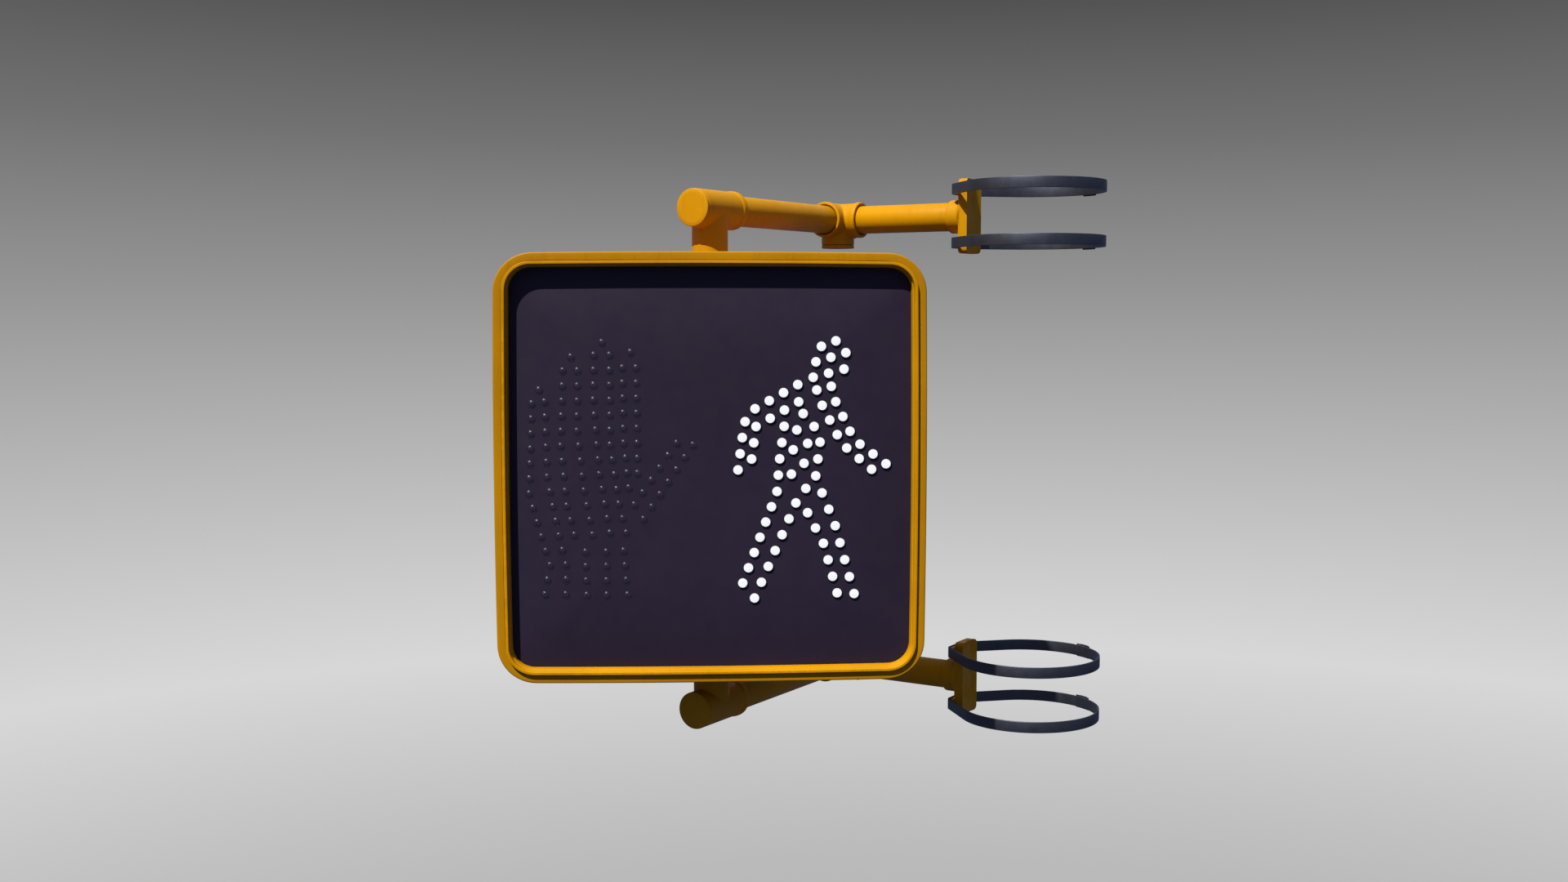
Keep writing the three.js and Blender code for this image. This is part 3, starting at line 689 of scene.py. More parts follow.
# Each symbol as strokes of lenses: the corners of a line along which they are evenly spaced.
WALKER = [
    [(121, 134), (137, 140)], [(115, 117), (148, 127)], [(112, 100), (146, 109)], [(116, 86), (132, 90)],
    [(95, 92), (47, 65), (36, 50), (29, -2)], [(96, 73), (49, 46), (44, 10)],
    [(137, 73), (153, 40), (164, 26), (193, 4)], [(122, 69), (139, 36), (149, 22), (177, -2)],
    [(101, 60), (112, 48), (120, 31), (115, -9)], [(122, -28), (136, -62), (158, -141)],
    [(80, 46), (75, 10), (72, -27), (34, -128)],
    [(94, 42)], [(90, 20)], [(88, -7)], [(93, -39), (47, -145)],
    [(106, 27)], [(102, 5)], [(104, -23)], [(106, -50), (124, -85), (139, -140)],
]
HAND = [
    [(-188, 86)], [(-153, 122)], [(-119, 138)], [(-88, 127)],
    [(-196, 71), (-200, -30), (-187, -76), (-178, -107), (-184, -140)],
    [(-182, 73), (-180, -12), (-168, -75), (-160, -110), (-161, -140)],
    [(-162, 107), (-165, 24), (-159, -42), (-151, -74)], [(-139, -93), (-138, -141)],
    [(-146, 107), (-147, 40), (-140, -25), (-131, -74)], [(-116, -93), (-116, -141)],
    [(-128, 124), (-129, 70), (-123, -7), (-112, -72)], [(-97, -92), (-93, -141)],
    [(-111, 124), (-111, 25), (-102, -40), (-94, -72)],
    [(-97, 110), (-96, 27), (-91, -22)], [(-82, 110), (-81, -6)],
    [(-38, 27), (-85, -41)], [(-20, 25), (-75, -57)],
]


def along_line(corners, pitch):
    """Points spaced evenly along a line through the corners."""
    points = [Vector(corner) for corner in corners]
    legs = [(b - a).length for a, b in zip(points, points[1:])]
    total = sum(legs)
    if not legs:
        return points
    count = max(1, round(total / pitch))
    spaced = []
    for i in range(count + 1):
        left = total * i / count
        leg = 0
        while leg < len(legs) - 1 and left > legs[leg]:
            left -= legs[leg]
            leg += 1
        spaced.append(points[leg].lerp(points[leg + 1], left / legs[leg]))
    return spaced


WALKER_PITCH, HAND_PITCH = 18.6, 16.6
WALKER_DOTS = [dot for corners in WALKER for dot in along_line(corners, WALKER_PITCH)]
HAND_DOTS = [dot for corners in HAND for dot in along_line(corners, HAND_PITCH)]
LIT_LENS_R = 5.25


def at_dots(dots, profile):
    """One small turned solid at each lens of a symbol; the profile runs forwards from the face."""
    section = [(r, PANEL_Y - h) for r, h in profile]
    return together(*(lathe(section, Y, (x, 0, z), 32) for x, z in dots))


def lens_sleeve_profile():
    return rounded([(5.2, -1), (5.8, -1), (5.8, 1.7), (5.2, 1.7)], 0.2, steps=2)


def lit_lens_profile():
    """Domed lens that fills its sleeve, from its edge to its crown."""
    angles = [math.pi / 2 * i / 8 for i in range(9)]
    dome = [(LIT_LENS_R * math.sin(a), 1.2 + 0.7 * math.cos(a)) for a in angles]
    return [(0, -1), (LIT_LENS_R, -1)] + dome[::-1]


def dark_lens_profile():
    """Very low dome inside a thin rim, with a groove between them."""
    return [(0, -1), (4.3, -1), (4.3, 0.28), (4.15, 0.38), (3.95, 0.34), (3.75, 0.08), (3.5, 0.08),
            (3.25, 0.3), (2.6, 0.46), (1.5, 0.56), (0.7, 0.59), (0, 0.6)]


def make_door():
    piece("door_frame_fine", door_frame(), HEAD, "door", "head_paint", "door_frame")
    piece("visor_ring_fine", visor_ring(), HEAD, "door", "head_paint", "visor_ring", material="arm_paint")
    face = square_plate(PANEL_HALF, RING_CORNER, PANEL_Y, PANEL_BACK, 0.5)
    piece("message_face", face, HEAD, "door", "panel", "message_panel")
    for name, dots, profile, finish in (
        ("walker_lens_sleeves", WALKER_DOTS, lens_sleeve_profile(), "sleeve"),
        ("walker_lenses", WALKER_DOTS, lit_lens_profile(), "lamp"),
        ("hand_lenses", HAND_DOTS, dark_lens_profile(), "lamp_off"),
    ):
        piece(name, at_dots(dots, profile), HEAD, "door", "panel", material=finish)


# ---------------------------------------------------------------- door: what is behind the face


def d_gasket(half_out, half_in, corner, front, back):
    """Rubber ring with a soft rounded front and a flat back."""
    outline = rounded([
        (half_in, front, 0.5), (half_out, front, 0.5), (half_out, back, 0.2), (half_in, back, 0.2),
    ], 0.4, steps=4)
    return square_sweep(ring_profile(outline, half_out, corner))


MODULE_FRONT, MODULE_BACK = span("module_shell", Y)
MODULE_HALF = 203
MODULE_LIP = span("module_shell", Z)[1]
LIP_BACK = -92


def module_shell():
    """Moulded tray behind the face, with a clamping lip, crossed ribs, a wire boss and feet."""
    tray = square_sweep([
        (0, 0, MODULE_BACK), (120, 12, MODULE_BACK), (MODULE_HALF - 8, 16, MODULE_BACK),
        (MODULE_HALF - 3.5, 17, MODULE_BACK - 1.2), (MODULE_HALF - 0.8, 18, MODULE_BACK - 4),
        (MODULE_HALF, 18, MODULE_BACK - 8), (MODULE_HALF, 18, LIP_BACK), (MODULE_LIP - 0.5, 20, LIP_BACK),
        (MODULE_LIP, 20, LIP_BACK - 0.5), (MODULE_LIP, 20, DOOR_BACK + GAP),
        (MODULE_HALF, 18, DOOR_BACK + GAP), (MODULE_HALF, 18, MODULE_FRONT),
        (MODULE_HALF - 3, 16, MODULE_FRONT), (MODULE_HALF - 3, 16, DOOR_BACK + GAP),
        (MODULE_HALF - 7, 14, DOOR_BACK + GAP), (MODULE_HALF - 7, 14, MODULE_BACK - 6),
        (MODULE_HALF - 13, 14, MODULE_BACK - 3), (0, 0, MODULE_BACK - 3),
    ])
    depth = (MODULE_BACK - 1, MODULE_BACK + 3)
    places = (-120, -60, 0, 60, 120)
    uprights = together(*(block(about(x, 1.5), depth, (-168, 168), 0.7) for x in places))
    lower = (MODULE_BACK - 0.7, MODULE_BACK + 2.6)
    levels = together(*(block((-167, 167), lower, about(z, 1.4), 0.7) for z in places))
    boss = turned([
        (0, MODULE_BACK - 1, 0), (17, MODULE_BACK - 1, 0), (15, MODULE_BACK + 8, 1.5),
        (9, MODULE_BACK + 8, 1), (8, MODULE_BACK + 4, 1), (0, MODULE_BACK + 4, 0),
    ], 1, Y, (90, 0, -90))
    foot = rounded([
        (0, MODULE_BACK - 1, 0), (8, MODULE_BACK - 1, 0), (7, MODULE_BACK + 5, 1),
        (3.2, MODULE_BACK + 5, 0.5), (3, MODULE_BACK + 1, 0.3), (0, MODULE_BACK + 1, 0),
    ], 1)
    feet = together(*(lathe(foot, Y, (x, 0, z), 32) for x in (-180, 180) for z in (-180, 180)))
    return union(tray, uprights, levels, boss, feet)


def led_board():
    """Board with a lamp package behind each lens, and driver chips."""
    half = span("led_board", Z)[1]
    front, back = span("led_board", Y)
    plate = square_plate(half, 15.5, front, back, 0.2)
    lamps = []
    for x, z in WALKER_DOTS + HAND_DOTS:
        x = max(x, 4 - half)
        lamps.append(block(about(x, 1.6), (front - 1.0, front + 0.2), about(z, 1.6)))
    chips = [block(about(x, 7), (front - 1.6, front + 0.2), about(z, 5), 0.4)
             for x in (-30, 0) for z in (-170, 170)]
    return together(plate, *lamps, *chips)


def module_clip():
    """Bent clip that holds the tray against the door, with a slotted hole for its screw."""
    low, edge = span("upper_right_clip", Z)
    back = span("upper_right_clip", Y)[1]
    foot = 209.9
    outline = rounded([
        (DOOR_BACK + GAP, foot, 0.3), (DOOR_BACK + GAP, edge, 0.3), (back, edge, 1.4),
        (back, low, 0.5), (back - 2.3, low, 0.5), (back - 2.3, foot, 1.2),
    ], 0.5)
    blade = bevelled(prism(outline, *about(CLIP_X, 9), X), 0.5)
    ribs = [block(about(CLIP_X + side * 6, 0.8), about(back, 1), (low + 1.5, edge - 1.5), 0.4)
            for side in PAIR]
    hole = rod(1.8, -97, -85, Y, (CLIP_X, 0, CLIP_Z), segments=24)
    return cut(union(blade, together(*ribs)), hole)


def cross_head(radius, seat, height, axis_point):
    """Domed screw head on top of its seat, with a crossed recess."""
    x, z = axis_point
    angles = [math.pi / 2 * i / 7 for i in range(8)]
    dome = [(radius * math.cos(a), seat + height * (0.35 + 0.65 * math.sin(a))) for a in angles]
    head = lathe([(0, seat), (radius, seat)] + dome, Y, (x, 0, z), 40)
    arm, width = radius * 0.62, radius * 0.12
    cross = []
    for quarter in range(4):
        turn = Matrix.Rotation(math.radians(24 + 90 * quarter), 2)
        cross += [turn @ Vector(corner) for corner in ((arm, -width), (arm, width), (width, width))]
    return cut(head, prism(cross, seat + height * 0.45, seat + height + 1, Y, (x, 0, z)))


def clip_screw():
    shank = threaded_rod(1.5, 0.18, 0.6, DOOR_BACK - 2.3, -88.5, Y, (CLIP_X, 0, CLIP_Z), 20)
    return together(shank, cross_head(3, -89.1, 2.5, (CLIP_X, CLIP_Z)))


def threaded_rod(radius, depth, pitch, low, high, axis, at, segments=40, bore=0.0):
    """Bar or tube with one helical thread along it."""
    rows = 6 * max(1, round((high - low) / pitch))
    loops = []
    for row in range(rows + 1):
        h = low + (high - low) * row / rows
        fade = min(1, row / 6, (rows - row) / 6)
        ring = []
        for i in range(segments):
            a = math.tau * i / segments
            ridge = abs(2 * ((h / pitch - i / segments) % 1) - 1)
            r = radius - depth * (1 - fade * (1 - ridge))
            ring.append((r * math.cos(a), r * math.sin(a), h))
        loops.append(on_axis(axis, at, ring))
    if bore:
        for h in (high, low):
            ring = [(bore * math.cos(math.tau * i / segments), bore * math.sin(math.tau * i / segments), h)
                    for i in range(segments)]
            loops.append(on_axis(axis, at, ring))
    return skin(loops, closed=bool(bore))


def make_door_inside():
    front, back = span("panel_gasket", Y)
    gasket = d_gasket(PANEL_HALF, 212, RING_CORNER, front, back)
    piece("panel_gasket_fine", gasket, HEAD, "door", "rubber", "panel_gasket")
    piece("module_shell_fine", module_shell(), HEAD, "door", "shell", "module_shell")
    piece("led_board_fine", led_board(), HEAD, "door", "board", "led_board")
    clip, screw = module_clip(), clip_screw()
    for place, across in (("right", 1), ("left", -1)):
        for label, side in ENDS:
            flip = Matrix.Diagonal((across, 1, side, 1))
            node = f"{label}_{place}_clip"
            piece(f"{node}_fine", moved(clip, flip), HEAD, "door", "zinc", node)
            piece(f"{node}_screw_fine", moved(screw, flip), HEAD, "door", "steel", f"{node}_screw")


# ---------------------------------------------------------------- head: case, hinges, latches and hubs


def case_knuckle():
    """Flat outline, in X and Y, of a hinge knuckle on the case."""
    wall = -CASE_HALF + 2
    outline = [(wall, HINGE_Y - KNUCKLE_R), (HINGE_X, HINGE_Y - KNUCKLE_R)]
    for i in range(1, 12):
        a = -math.pi / 2 - math.pi * i / 12
        outline.append((HINGE_X + KNUCKLE_R * math.cos(a), HINGE_Y + KNUCKLE_R * math.sin(a)))
    outline += [(HINGE_X, HINGE_Y + KNUCKLE_R), (wall, HINGE_Y + 9)]
    return outline


def latch_lug():
    """Flat outline, in Z and X, of the lug that a wing screw passes through."""
    root, out = CASE_HALF - 2, LATCH_X + 4.5
    return rounded([(-12, root, 0), (-6, out, 4), (6, out, 4), (12, root, 0)], 3, steps=6)


def case_body():
    """Hollow box with a shallow recess in its back, whose back edges swell gently into its sides."""
    swell = [
        (0, 0, 2.2), (80, 8, 2.2), (164, 20, 2.2), (166, 21, 1.7), (168, 22, 0.4), (170, 23, 0),
        (193, 28, 0), (200, 30, 0.9), (206.5, 33, 3.4), (212.5, 35, 8.5), (217.2, 34, 16),
        (220.4, 32, 27), (222.6, 30, 42), (223.7, 28.5, 58), (CASE_HALF, CASE_CORNER, 72),
    ]
    outer = [(half, corner, CASE_BACK - depth) for half, corner, depth in swell] + [
        (CASE_HALF, CASE_CORNER, CASE_FRONT + 0.8), (CASE_HALF - 0.8, CASE_CORNER - 0.8, CASE_FRONT),
    ]
    wall = CASE_HALF - WALL
    inner = [
        (wall + 0.6, CASE_CORNER - WALL + 0.6, CASE_FRONT), (wall, CASE_CORNER - WALL, CASE_FRONT + 0.6),
        (wall, CASE_CORNER - WALL, CASE_BACK - 70), (wall - 4, 28, CASE_BACK - 26),
        (wall - 14, 32, CASE_BACK - 10), (wall - 26, 28, CASE_BACK - WALL), (0, 0, CASE_BACK - WALL),
    ]
    return square_sweep(outer + inner)


def case_back_ribs():
    """Crossed ribs and a ring cast into the recess of the case's back."""
    depth = (CASE_BACK - 3, CASE_BACK - 0.2)
    length, width = (-165, 165), (-2.2, 2.2)
    crossed = [block(x, depth, z, 0.8) for x, z in ((length, width), (width, length))]
    hoop = tube(62, 57.6, *depth, Y, (0, 0, 0), 0.8, 96)
    pads = [rod(9, depth[0], CASE_BACK + 0.2, Y, (x, 0, z), 1.0, 40)
            for x in (-118, 118) for z in (-118, 118)]
    return [*crossed, hoop, together(*pads)]


def post(x, z):
    """Post cast on the inside of the case's back, on which the supply or the terminals stand."""
    front, root = SUPPLY_BACK + GAP, CASE_BACK - 3
    return turned([
        (0, front, 0), (5.2, front, 0.5), (6, front + 12, 1),
        (8.5, CASE_BACK - WALL - 0.5, 1), (9, root, 0), (0, root, 0),
    ], 0.5, Y, (x, 0, z), 32)


def case_shell():
    """The case with its pads, knuckles, lugs and posts, and holes for stems, pins, screws and water."""
    body = union(case_body(), *case_back_ribs())
    knuckles, lugs, holes, pads = [], [], [], []
    middle = (0, 0, 0)
    for side in PAIR:
        inside, skin_in, skin_out = CASE_HALF - WALL - 3, CASE_HALF - 1.5, CASE_HALF + 1.6
        pads.append(tube(30, STEM_R + GAP, side * inside, side * skin_in, Z, middle, 0.8))
        pads.append(tube(34, 24, side * (CASE_HALF - 1), side * skin_out, Z, middle, 0.9))
        holes.append(rod(STEM_R + GAP, side * 200, side * 240, Z, middle))
        for end in PAIR:
            z = side * HINGE_Z + end * 13.5
            knuckles.append(bevelled(prism(case_knuckle(), *about(z, 6), Z), 0.8, 3))
        latch = side * LATCH_Z
        lugs.append(bevelled(prism(latch_lug(), -84, -76, Y, (0, 0, latch)), 0.8, 3))
        holes.append(rod(PIN_BORE_R, -90, -70, Y, (LATCH_X, 0, latch), 0, 32))
        holes.append(rod(PIN_BORE_R, *about(side * HINGE_Z, 30), Z, (HINGE_X, HINGE_Y, 0), 0, 32))
    weeps = [rod(2.5, -CASE_HALF - 5, -CASE_HALF + 8, Z, (x, y, 0), 0, 24)
             for x in (-150, 150) for y in (-70, 60)]
    places = ((-150, 60), (-30, 60), (-150, -60), (-30, -60), (90, -150), (190, -150))
    posts = [post(x, z) for x, z in places]
    body = union(body, together(*knuckles), together(*lugs), together(*posts), together(*pads))
    return merged(cut(body, together(*holes), together(*weeps)))


def hinge_pin():
    """Pin with a domed head above, a groove for its clip and a tapered end, centred on the hinge."""
    low, high = -22, 20
    return turned([
        (0, low, 0), (1.7, low, 0.2), (2.5, low + 1.6, 0.3), (2.5, low + 3, 0.1), (1.9, low + 3, 0.1),
        (1.9, low + 4, 0.1), (2.5, low + 4, 0.1), (2.5, high - 0.2, 0.1), (4, high - 0.2, 0.2),
        (4, high + 1.2, 0.8), (2.2, high + 2.6, 1.2), (0, high + 2.6, 0),
    ], 0.2, Z, (HINGE_X, HINGE_Y, 0), 40)


def wing_screw():
    """Threaded latch screw with a turned boss and two upswept wings."""
    z = LATCH_Z
    at = (LATCH_X, 0, z)
    low, back = span("upper_wing_screw", Y)
    tip = span("upper_wing_screw", Z)[1] - z
    corners = [(0, -75.5, 0), (5.5, -75.5, 0.6), (5.2, -70, 1), (4.2, -65.5, 1), (0, -65.5, 0)]
    boss = turned(corners, 1, Y, at, 48)
    wing = rounded([
        (0, -72.6, 0), (tip - 3.5, -70.8, 2.5), (tip, -65, 3), (tip - 1.5, back, 2.8),
        (tip - 6.5, back - 0.6, 2.5), (tip - 8.5, -65.5, 3), (0, -67.5, 0),
    ], 2, steps=5)
    wings = []
    for side in PAIR:
        loops = [[Vector((LATCH_X + w, v, z + side * u)) for u, v in wing] for w in (-1.3, 1.3)]
        wings.append(bevelled(skin(loops), 0.6, 3))
    knob = fused(together(boss, *wings), 0.35, 4)
    shank = threaded_rod(2.45, 0.3, 1.0, low, -74, Y, at, 32)
    return together(knob, shank)


def hub_ring():
    """Ring between the case and the bracket's hub, with a serrated upper edge that locks the head's aim."""
    low, bore = CASE_HALF + GAP, STEM_R + GAP
    profile = rounded([
        (bore, low, 0.3), (23, low, 0.6), (23, low + 3.2, 0.8), (21.4, low + 4.2, 0.8),
        (21.4, HUB_TOP - 3.4, 0.8), (22.6, HUB_TOP - 2.4, 0.5), (22.6, HUB_TOP, 0.5), (bore, HUB_TOP, 0.3),
    ], 0.4)
    teeth = 72
    loops = []
    for i in range(2 * teeth):
        a = math.tau * i / (2 * teeth)
        loop = []
        for r, h in profile:
            r -= 0.45 * (i % 2) if r > 21.8 and h > HUB_TOP - 3 else 0
            loop.append((r * math.cos(a), r * math.sin(a), h))
        loops.append(loop)
    return skin(loops, closed=True)


SUPPLY_BASE_T = 5


def power_supply():
    """Finned driver on a base plate, with a raised bar along its upper edge."""
    (x0, x1), (y0, y1), (z0, z1) = (span("power_supply", axis) for axis in (X, Y, Z))
    base = block((x0, x1), (y1 - SUPPLY_BASE_T, y1), (z0, z1), 1.2, 3)
    body = block((x0 + 6, x1 - 6), (y0 + 11, y1 - 1.5), (z0 + 6, z1 - 6), 2.2, 3)
    pitch = 8.0
    count = int((x1 - x0 - 32) / pitch)
    fins = [block(about(x0 + 18 + i * pitch, 1.2), (y0, y0 + 13), (z0 + 12, z1 - 30), 0.6)
            for i in range(count)]
    bar = block((x0 + 24, x1 - 24), (y0 + 4, y0 + 13), (z1 - 26, z1 - 12), 1.0)
    return merged(union(base, body, together(*fins), bar))


def supply_screws():
    """Four screws that hold the supply's base plate, with their heads towards the front."""
    seat = SUPPLY_BACK - SUPPLY_BASE_T
    heads = []
    for x in (-157, -23):
        for z in (-67, 67):
            turned = cross_head(3.4, 0, 2.4, (0, 0))
            facing = Matrix.Translation((x, seat + 0.2, z)) @ Matrix.Rotation(math.pi, 4, "X")
            heads.append(moved(turned, facing))
    return together(*heads)


WAYS, WAY_PITCH = 8, 13.5
FIRST_WAY, SCREW_ROW = 10.5, 7    # how far in from the block's ends and from its long sides


def terminal_block():
    """Block with screw wells along both long sides, a wire mouth beside each, and grooves between."""
    (x0, x1), (y0, y1), (z0, z1) = (span("terminal_block", axis) for axis in (X, Y, Z))
    body = block((x0, x1), (y0, y1), (z0, z1), 1.2, 3)
    first = x0 + FIRST_WAY
    wells = [rod(3.4, y0 - 2, y0 + 5, Y, (first + i * WAY_PITCH, 0, z), 0, 28)
             for i in range(WAYS) for z in (z0 + SCREW_ROW, z1 - SCREW_ROW)]
    mouths = [block(about(first + i * WAY_PITCH, 3.2), (y0 + 9, y0 + 16), z)
              for i in range(WAYS) for z in ((z0 - 2, z0 + 6), (z1 - 6, z1 + 2))]
    grooves = [block(about(first + (i - 0.5) * WAY_PITCH, 0.5), (y0 - 1, y0 + 2.5), (z0 - 1, z1 + 1))
               for i in range(1, WAYS)]
    return cut(body, together(*wells), together(*mouths), together(*grooves))


def terminal_screws():
    """A slotted screw at the bottom of each of the block's wells."""
    x0, y0 = span("terminal_block", X)[0], span("terminal_block", Y)[0]
    z0, z1 = span("terminal_block", Z)
    top, foot = y0 + 1.4, y0 + 5
    corners = [(0, top, 0), (2.9, top, 0.4), (2.9, foot, 0), (0, foot, 0)]
    heads = []
    for i in range(WAYS):
        for z in (z0 + SCREW_ROW, z1 - SCREW_ROW):
            x = x0 + FIRST_WAY + i * WAY_PITCH
            head = turned(corners, 0.3, Y, (x, 0, z), 28)
            heads.append(cut(head, block(about(x, 2.6), (y0, y0 + 2.2), about(z, 0.45))))
    return together(*heads)


def make_head():
    piece("case_fine", case_shell(), HEAD, "head", "head_paint", "case")
    front, back = span("case_gasket", Y)
    gasket = d_gasket(CASE_HALF - 0.4, 220, CASE_CORNER, front, back)
    piece("case_gasket_fine", gasket, HEAD, "head", "rubber", "case_gasket")
    both_ends("hub_ring", hub_ring(), HEAD, "head", "casting_paint")
    pin = hinge_pin()
    for label, side in ENDS:
        lift = Matrix.Translation((0, 0, side * HINGE_Z))
        piece(f"{label}_hinge_pin_fine", moved(pin, lift), HEAD, "head", "steel", f"{label}_hinge_pin")
    both_ends("wing_screw", wing_screw(), HEAD, "{}_wing_screw", "steel")
    piece("power_supply_fine", power_supply(), HEAD, "head", "supply_case", "power_supply")
    piece("power_supply_screws", supply_screws(), HEAD, "head", "steel")
    piece("terminal_block_fine", terminal_block(), HEAD, "head", "block", "terminal_block")
    piece("terminal_screws", terminal_screws(), HEAD, "head", "steel")


# ---------------------------------------------------------------- bracket: castings, pipes, bands and stems
COLLAR_L = 9                     # how far a fitting's collar reaches back from its mouth
CAST_VOXEL = 0.9


def mouth_collar(low, high, axis, at):
    """Low collar round a fitting's mouth."""
    inner = FITTING_R - 3
    return turned([
        (inner, low, 0), (FITTING_R - 0.3, low, 0), (COLLAR_R, low + 1.8, 1.5),
        (COLLAR_R, high, 0.8), (inner, high, 0),
    ], 1, axis, at, steps=4)


def socket(low, high, axis, at):
    """Space bored for an arm, countersunk at the mouth, which is the end given second."""
    inward = math.copysign(1, low - high)
    bore = PIPE_R + GAP
    return lathe([
        (0, low), (bore, low), (bore, high + inward * 3), (PIPE_R + 1.9, high + inward),
        (PIPE_R + 2.2, high - inward), (0, high - inward),
    ], axis, at, 96)


def seam_line(low, high):
    """Width and length of the thin ridge left where the two halves of a fitting's mould met."""
    return about(-REACH, 0.7), (low, high)


def tee():
    """Cast tee: the arm's socket behind, a seat for the cap in front and the branch that holds the head."""
    at = (-REACH, -ARM, PIPE_Z)
    front, mouth = TEE_FRONT + ARM, TEE_MOUTH + ARM
    over = seam_line(-ARM + front + 1, -ARM + mouth - COLLAR_L)
    beside = seam_line(-ARM - RISER_R - 0.6, -ARM + RISER_R + 0.6)
    body = fused(together(
        rod(FITTING_R, front, mouth, Y, at, 0.4),
        rod(RISER_R, TEE_FOOT, PIPE_Z, Z, STEM_AXIS, 0.8),
        mouth_collar(mouth - COLLAR_L, mouth, Y, at),
        block(*over, (PIPE_Z, PIPE_Z + FITTING_R + 0.6)),
        block(*beside, (TEE_FOOT + 2, PIPE_Z)),
    ), CAST_VOXEL, 5)
    return cut(
        body,
        socket(mouth - 18, mouth, Y, at),
        rod(PIPE_R + GAP, front - 5, front + 9, Y, at),
        rod(STEM_R + GAP, TEE_FOOT - 5, PIPE_Z - 24, Z, STEM_AXIS),
    )


def flat_plug(radius, neck, face, inward, axis, at, crown=0.5):
    """Plain flat plug: a disc with softened edges and a neck that goes inward, +1 or -1, along the axis."""
    corners = [
        (0, 0, 0), (radius * 0.8, 0, 1), (radius, crown, 1.1), (radius, 4, 0.4),
        (neck, 4.2, 0.3), (neck, 12, 0.5), (0, 12, 0),
    ]
    placed = [(r, face + inward * depth, fillet) for r, depth, fillet in corners]
    return turned(placed, 0.5, axis, at, 96, steps=4)


def centre_fitting():
    """Cast cross fitting: sockets for both arms, a closed rear port and a short closed branch."""
    at = CENTRE
    collar = mouth_collar(CROSS - COLLAR_L, CROSS, Y, at)
    body = fused(together(
        rod(FITTING_R, -CROSS, CROSS, Y, at, 0.4),
        rod(FITTING_R, 0, CROSS, X, at, 0.4),
        rod(STUB_R, STUB_END, PIPE_Z, Z, (-REACH, 0, 0), 0.6),
        mouth_collar(CROSS - COLLAR_L, CROSS, X, at),
        collar,
        moved(collar, Matrix.Diagonal((1, -1, 1, 1))),
        block(*seam_line(-CROSS + COLLAR_L, CROSS - COLLAR_L), (PIPE_Z, PIPE_Z + FITTING_R + 0.6)),
    ), CAST_VOXEL, 5)
    seat = CROSS - 10
    return cut(
        body,
        socket(-seat, -CROSS, Y, at),
        rod(PIPE_R + GAP, seat, CROSS + 5, Y, at),
        socket(seat, CROSS, X, at),
        rod(PIPE_R, STUB_END - 5, STUB_END + 9, Z, (-REACH, 0, 0)),
    )


def rear_plug():
    """Flat plug with two round key holes."""
    face = span("upper_rear_plug", Y, BRACKET)[1]
    holes = [rod(2.5, *about(face, 3), Y, (-REACH + dx, 0, PIPE_Z), 0, 32) for dx in (-13, 13)]
    return cut(flat_plug(FITTING_R, PIPE_R, face, -1, Y, CENTRE, 0.0), together(*holes))


def arm_pipe(node, axis, at):
    return tube(PIPE_R, PIPE_BORE, *span(node, axis, BRACKET), axis, at, 0.8, 96)


def pole_plate():
    """Curved-back plate that the bands pull against the pole over two seats, with a hub for the arm."""
    face = -(POLE_R + PLATE_T)
    z0, z1 = PLATE_Z
    corners = box_outline((-PLATE_HALF_W, PLATE_HALF_W), PLATE_Z)
    bar = prism(rounded(corners, 6, steps=6), face, -POLE_R + 4, X)
    hub = turned([
        (0, face - HUB_L, 0), (HUB_R, face - HUB_L, 1.2), (HUB_R, face - 3, 2),
        (HUB_R + 3, face + 1, 0), (0, face + 1, 0),
    ], 1, X, (0, 0, PIPE_Z))
    half = PLATE_HALF_W - 0.5
    corners = [(face + 1, -half, 0), (face + 1, half, 0), (face - SEAT_T, half), (face - SEAT_T, -half)]
    outline = rounded(corners, 4.5, steps=6)
    seats = [bevelled(prism(outline, *about(middle, SEAT_H / 2), Z), 1.2, 3)
             for middle in about(PIPE_Z, BAND_RISE)]
    body = fused(together(bar, hub, *seats), 0.8, 3)
    return cut(
        body,
        rod(POLE_R + GAP, z0 - 20, z1 + 20, Z, (0, 0, 0), 0, 256),
        rod(PIPE_R + GAP, face - HUB_L - 5, face - 2, X, (0, 0, PIPE_Z)),
    )


def band_path(radius, corner):
    """Points and outward normals along a band: round the pole and over the plate's seat."""
    centre = Vector((-(POLE_R + PLATE_T + SEAT_T + GAP) + corner, PLATE_HALF_W + GAP - corner))
    lean = math.atan2(centre.y, centre.x) - math.acos((radius - corner) / centre.length)
    stretches = [
        (Vector((0, 0)), radius, -lean, lean, 96),
        (centre, corner, lean, math.pi, 8),
        (Vector((centre.x, -centre.y)), corner, math.pi, math.tau - lean, 8),
    ]
    path = []
    for middle, r, start, end, steps in stretches:
        for i in range(steps + 1):
            a = start + (end - start) * i / steps
            normal = Vector((math.cos(a), math.sin(a)))
            path.append((middle + normal * r, normal))
    return path


def band():
    """Steel strap: a flat section with rounded edges."""
    half = BAND_H / 2
    z = PIPE_Z + BAND_RISE
    corners = [(0, -half), (BAND_T, -half), (BAND_T + 0.1, 0, 40), (BAND_T, half), (0, half)]
    section = rounded(corners, 0.45, steps=4)
    loops = []
    for point, normal in band_path(POLE_R + GAP, 5):
        loops.append([(*(point + normal * out), z + up) for out, up in section])
    return skin(loops, closed=True)


BUCKLE_AT = math.radians(62)


def wrapped(mesh):
    """A flat mesh (x along the band, y outwards, z up) bent round the pole at the buckle's place."""
    inner = POLE_R + GAP
    for vertex in mesh.vertices:
        along, out, up = vertex.co
        a = BUCKLE_AT + along / inner
        r = inner + out
        vertex.co = (r * math.cos(a), r * math.sin(a), up)
    return mesh


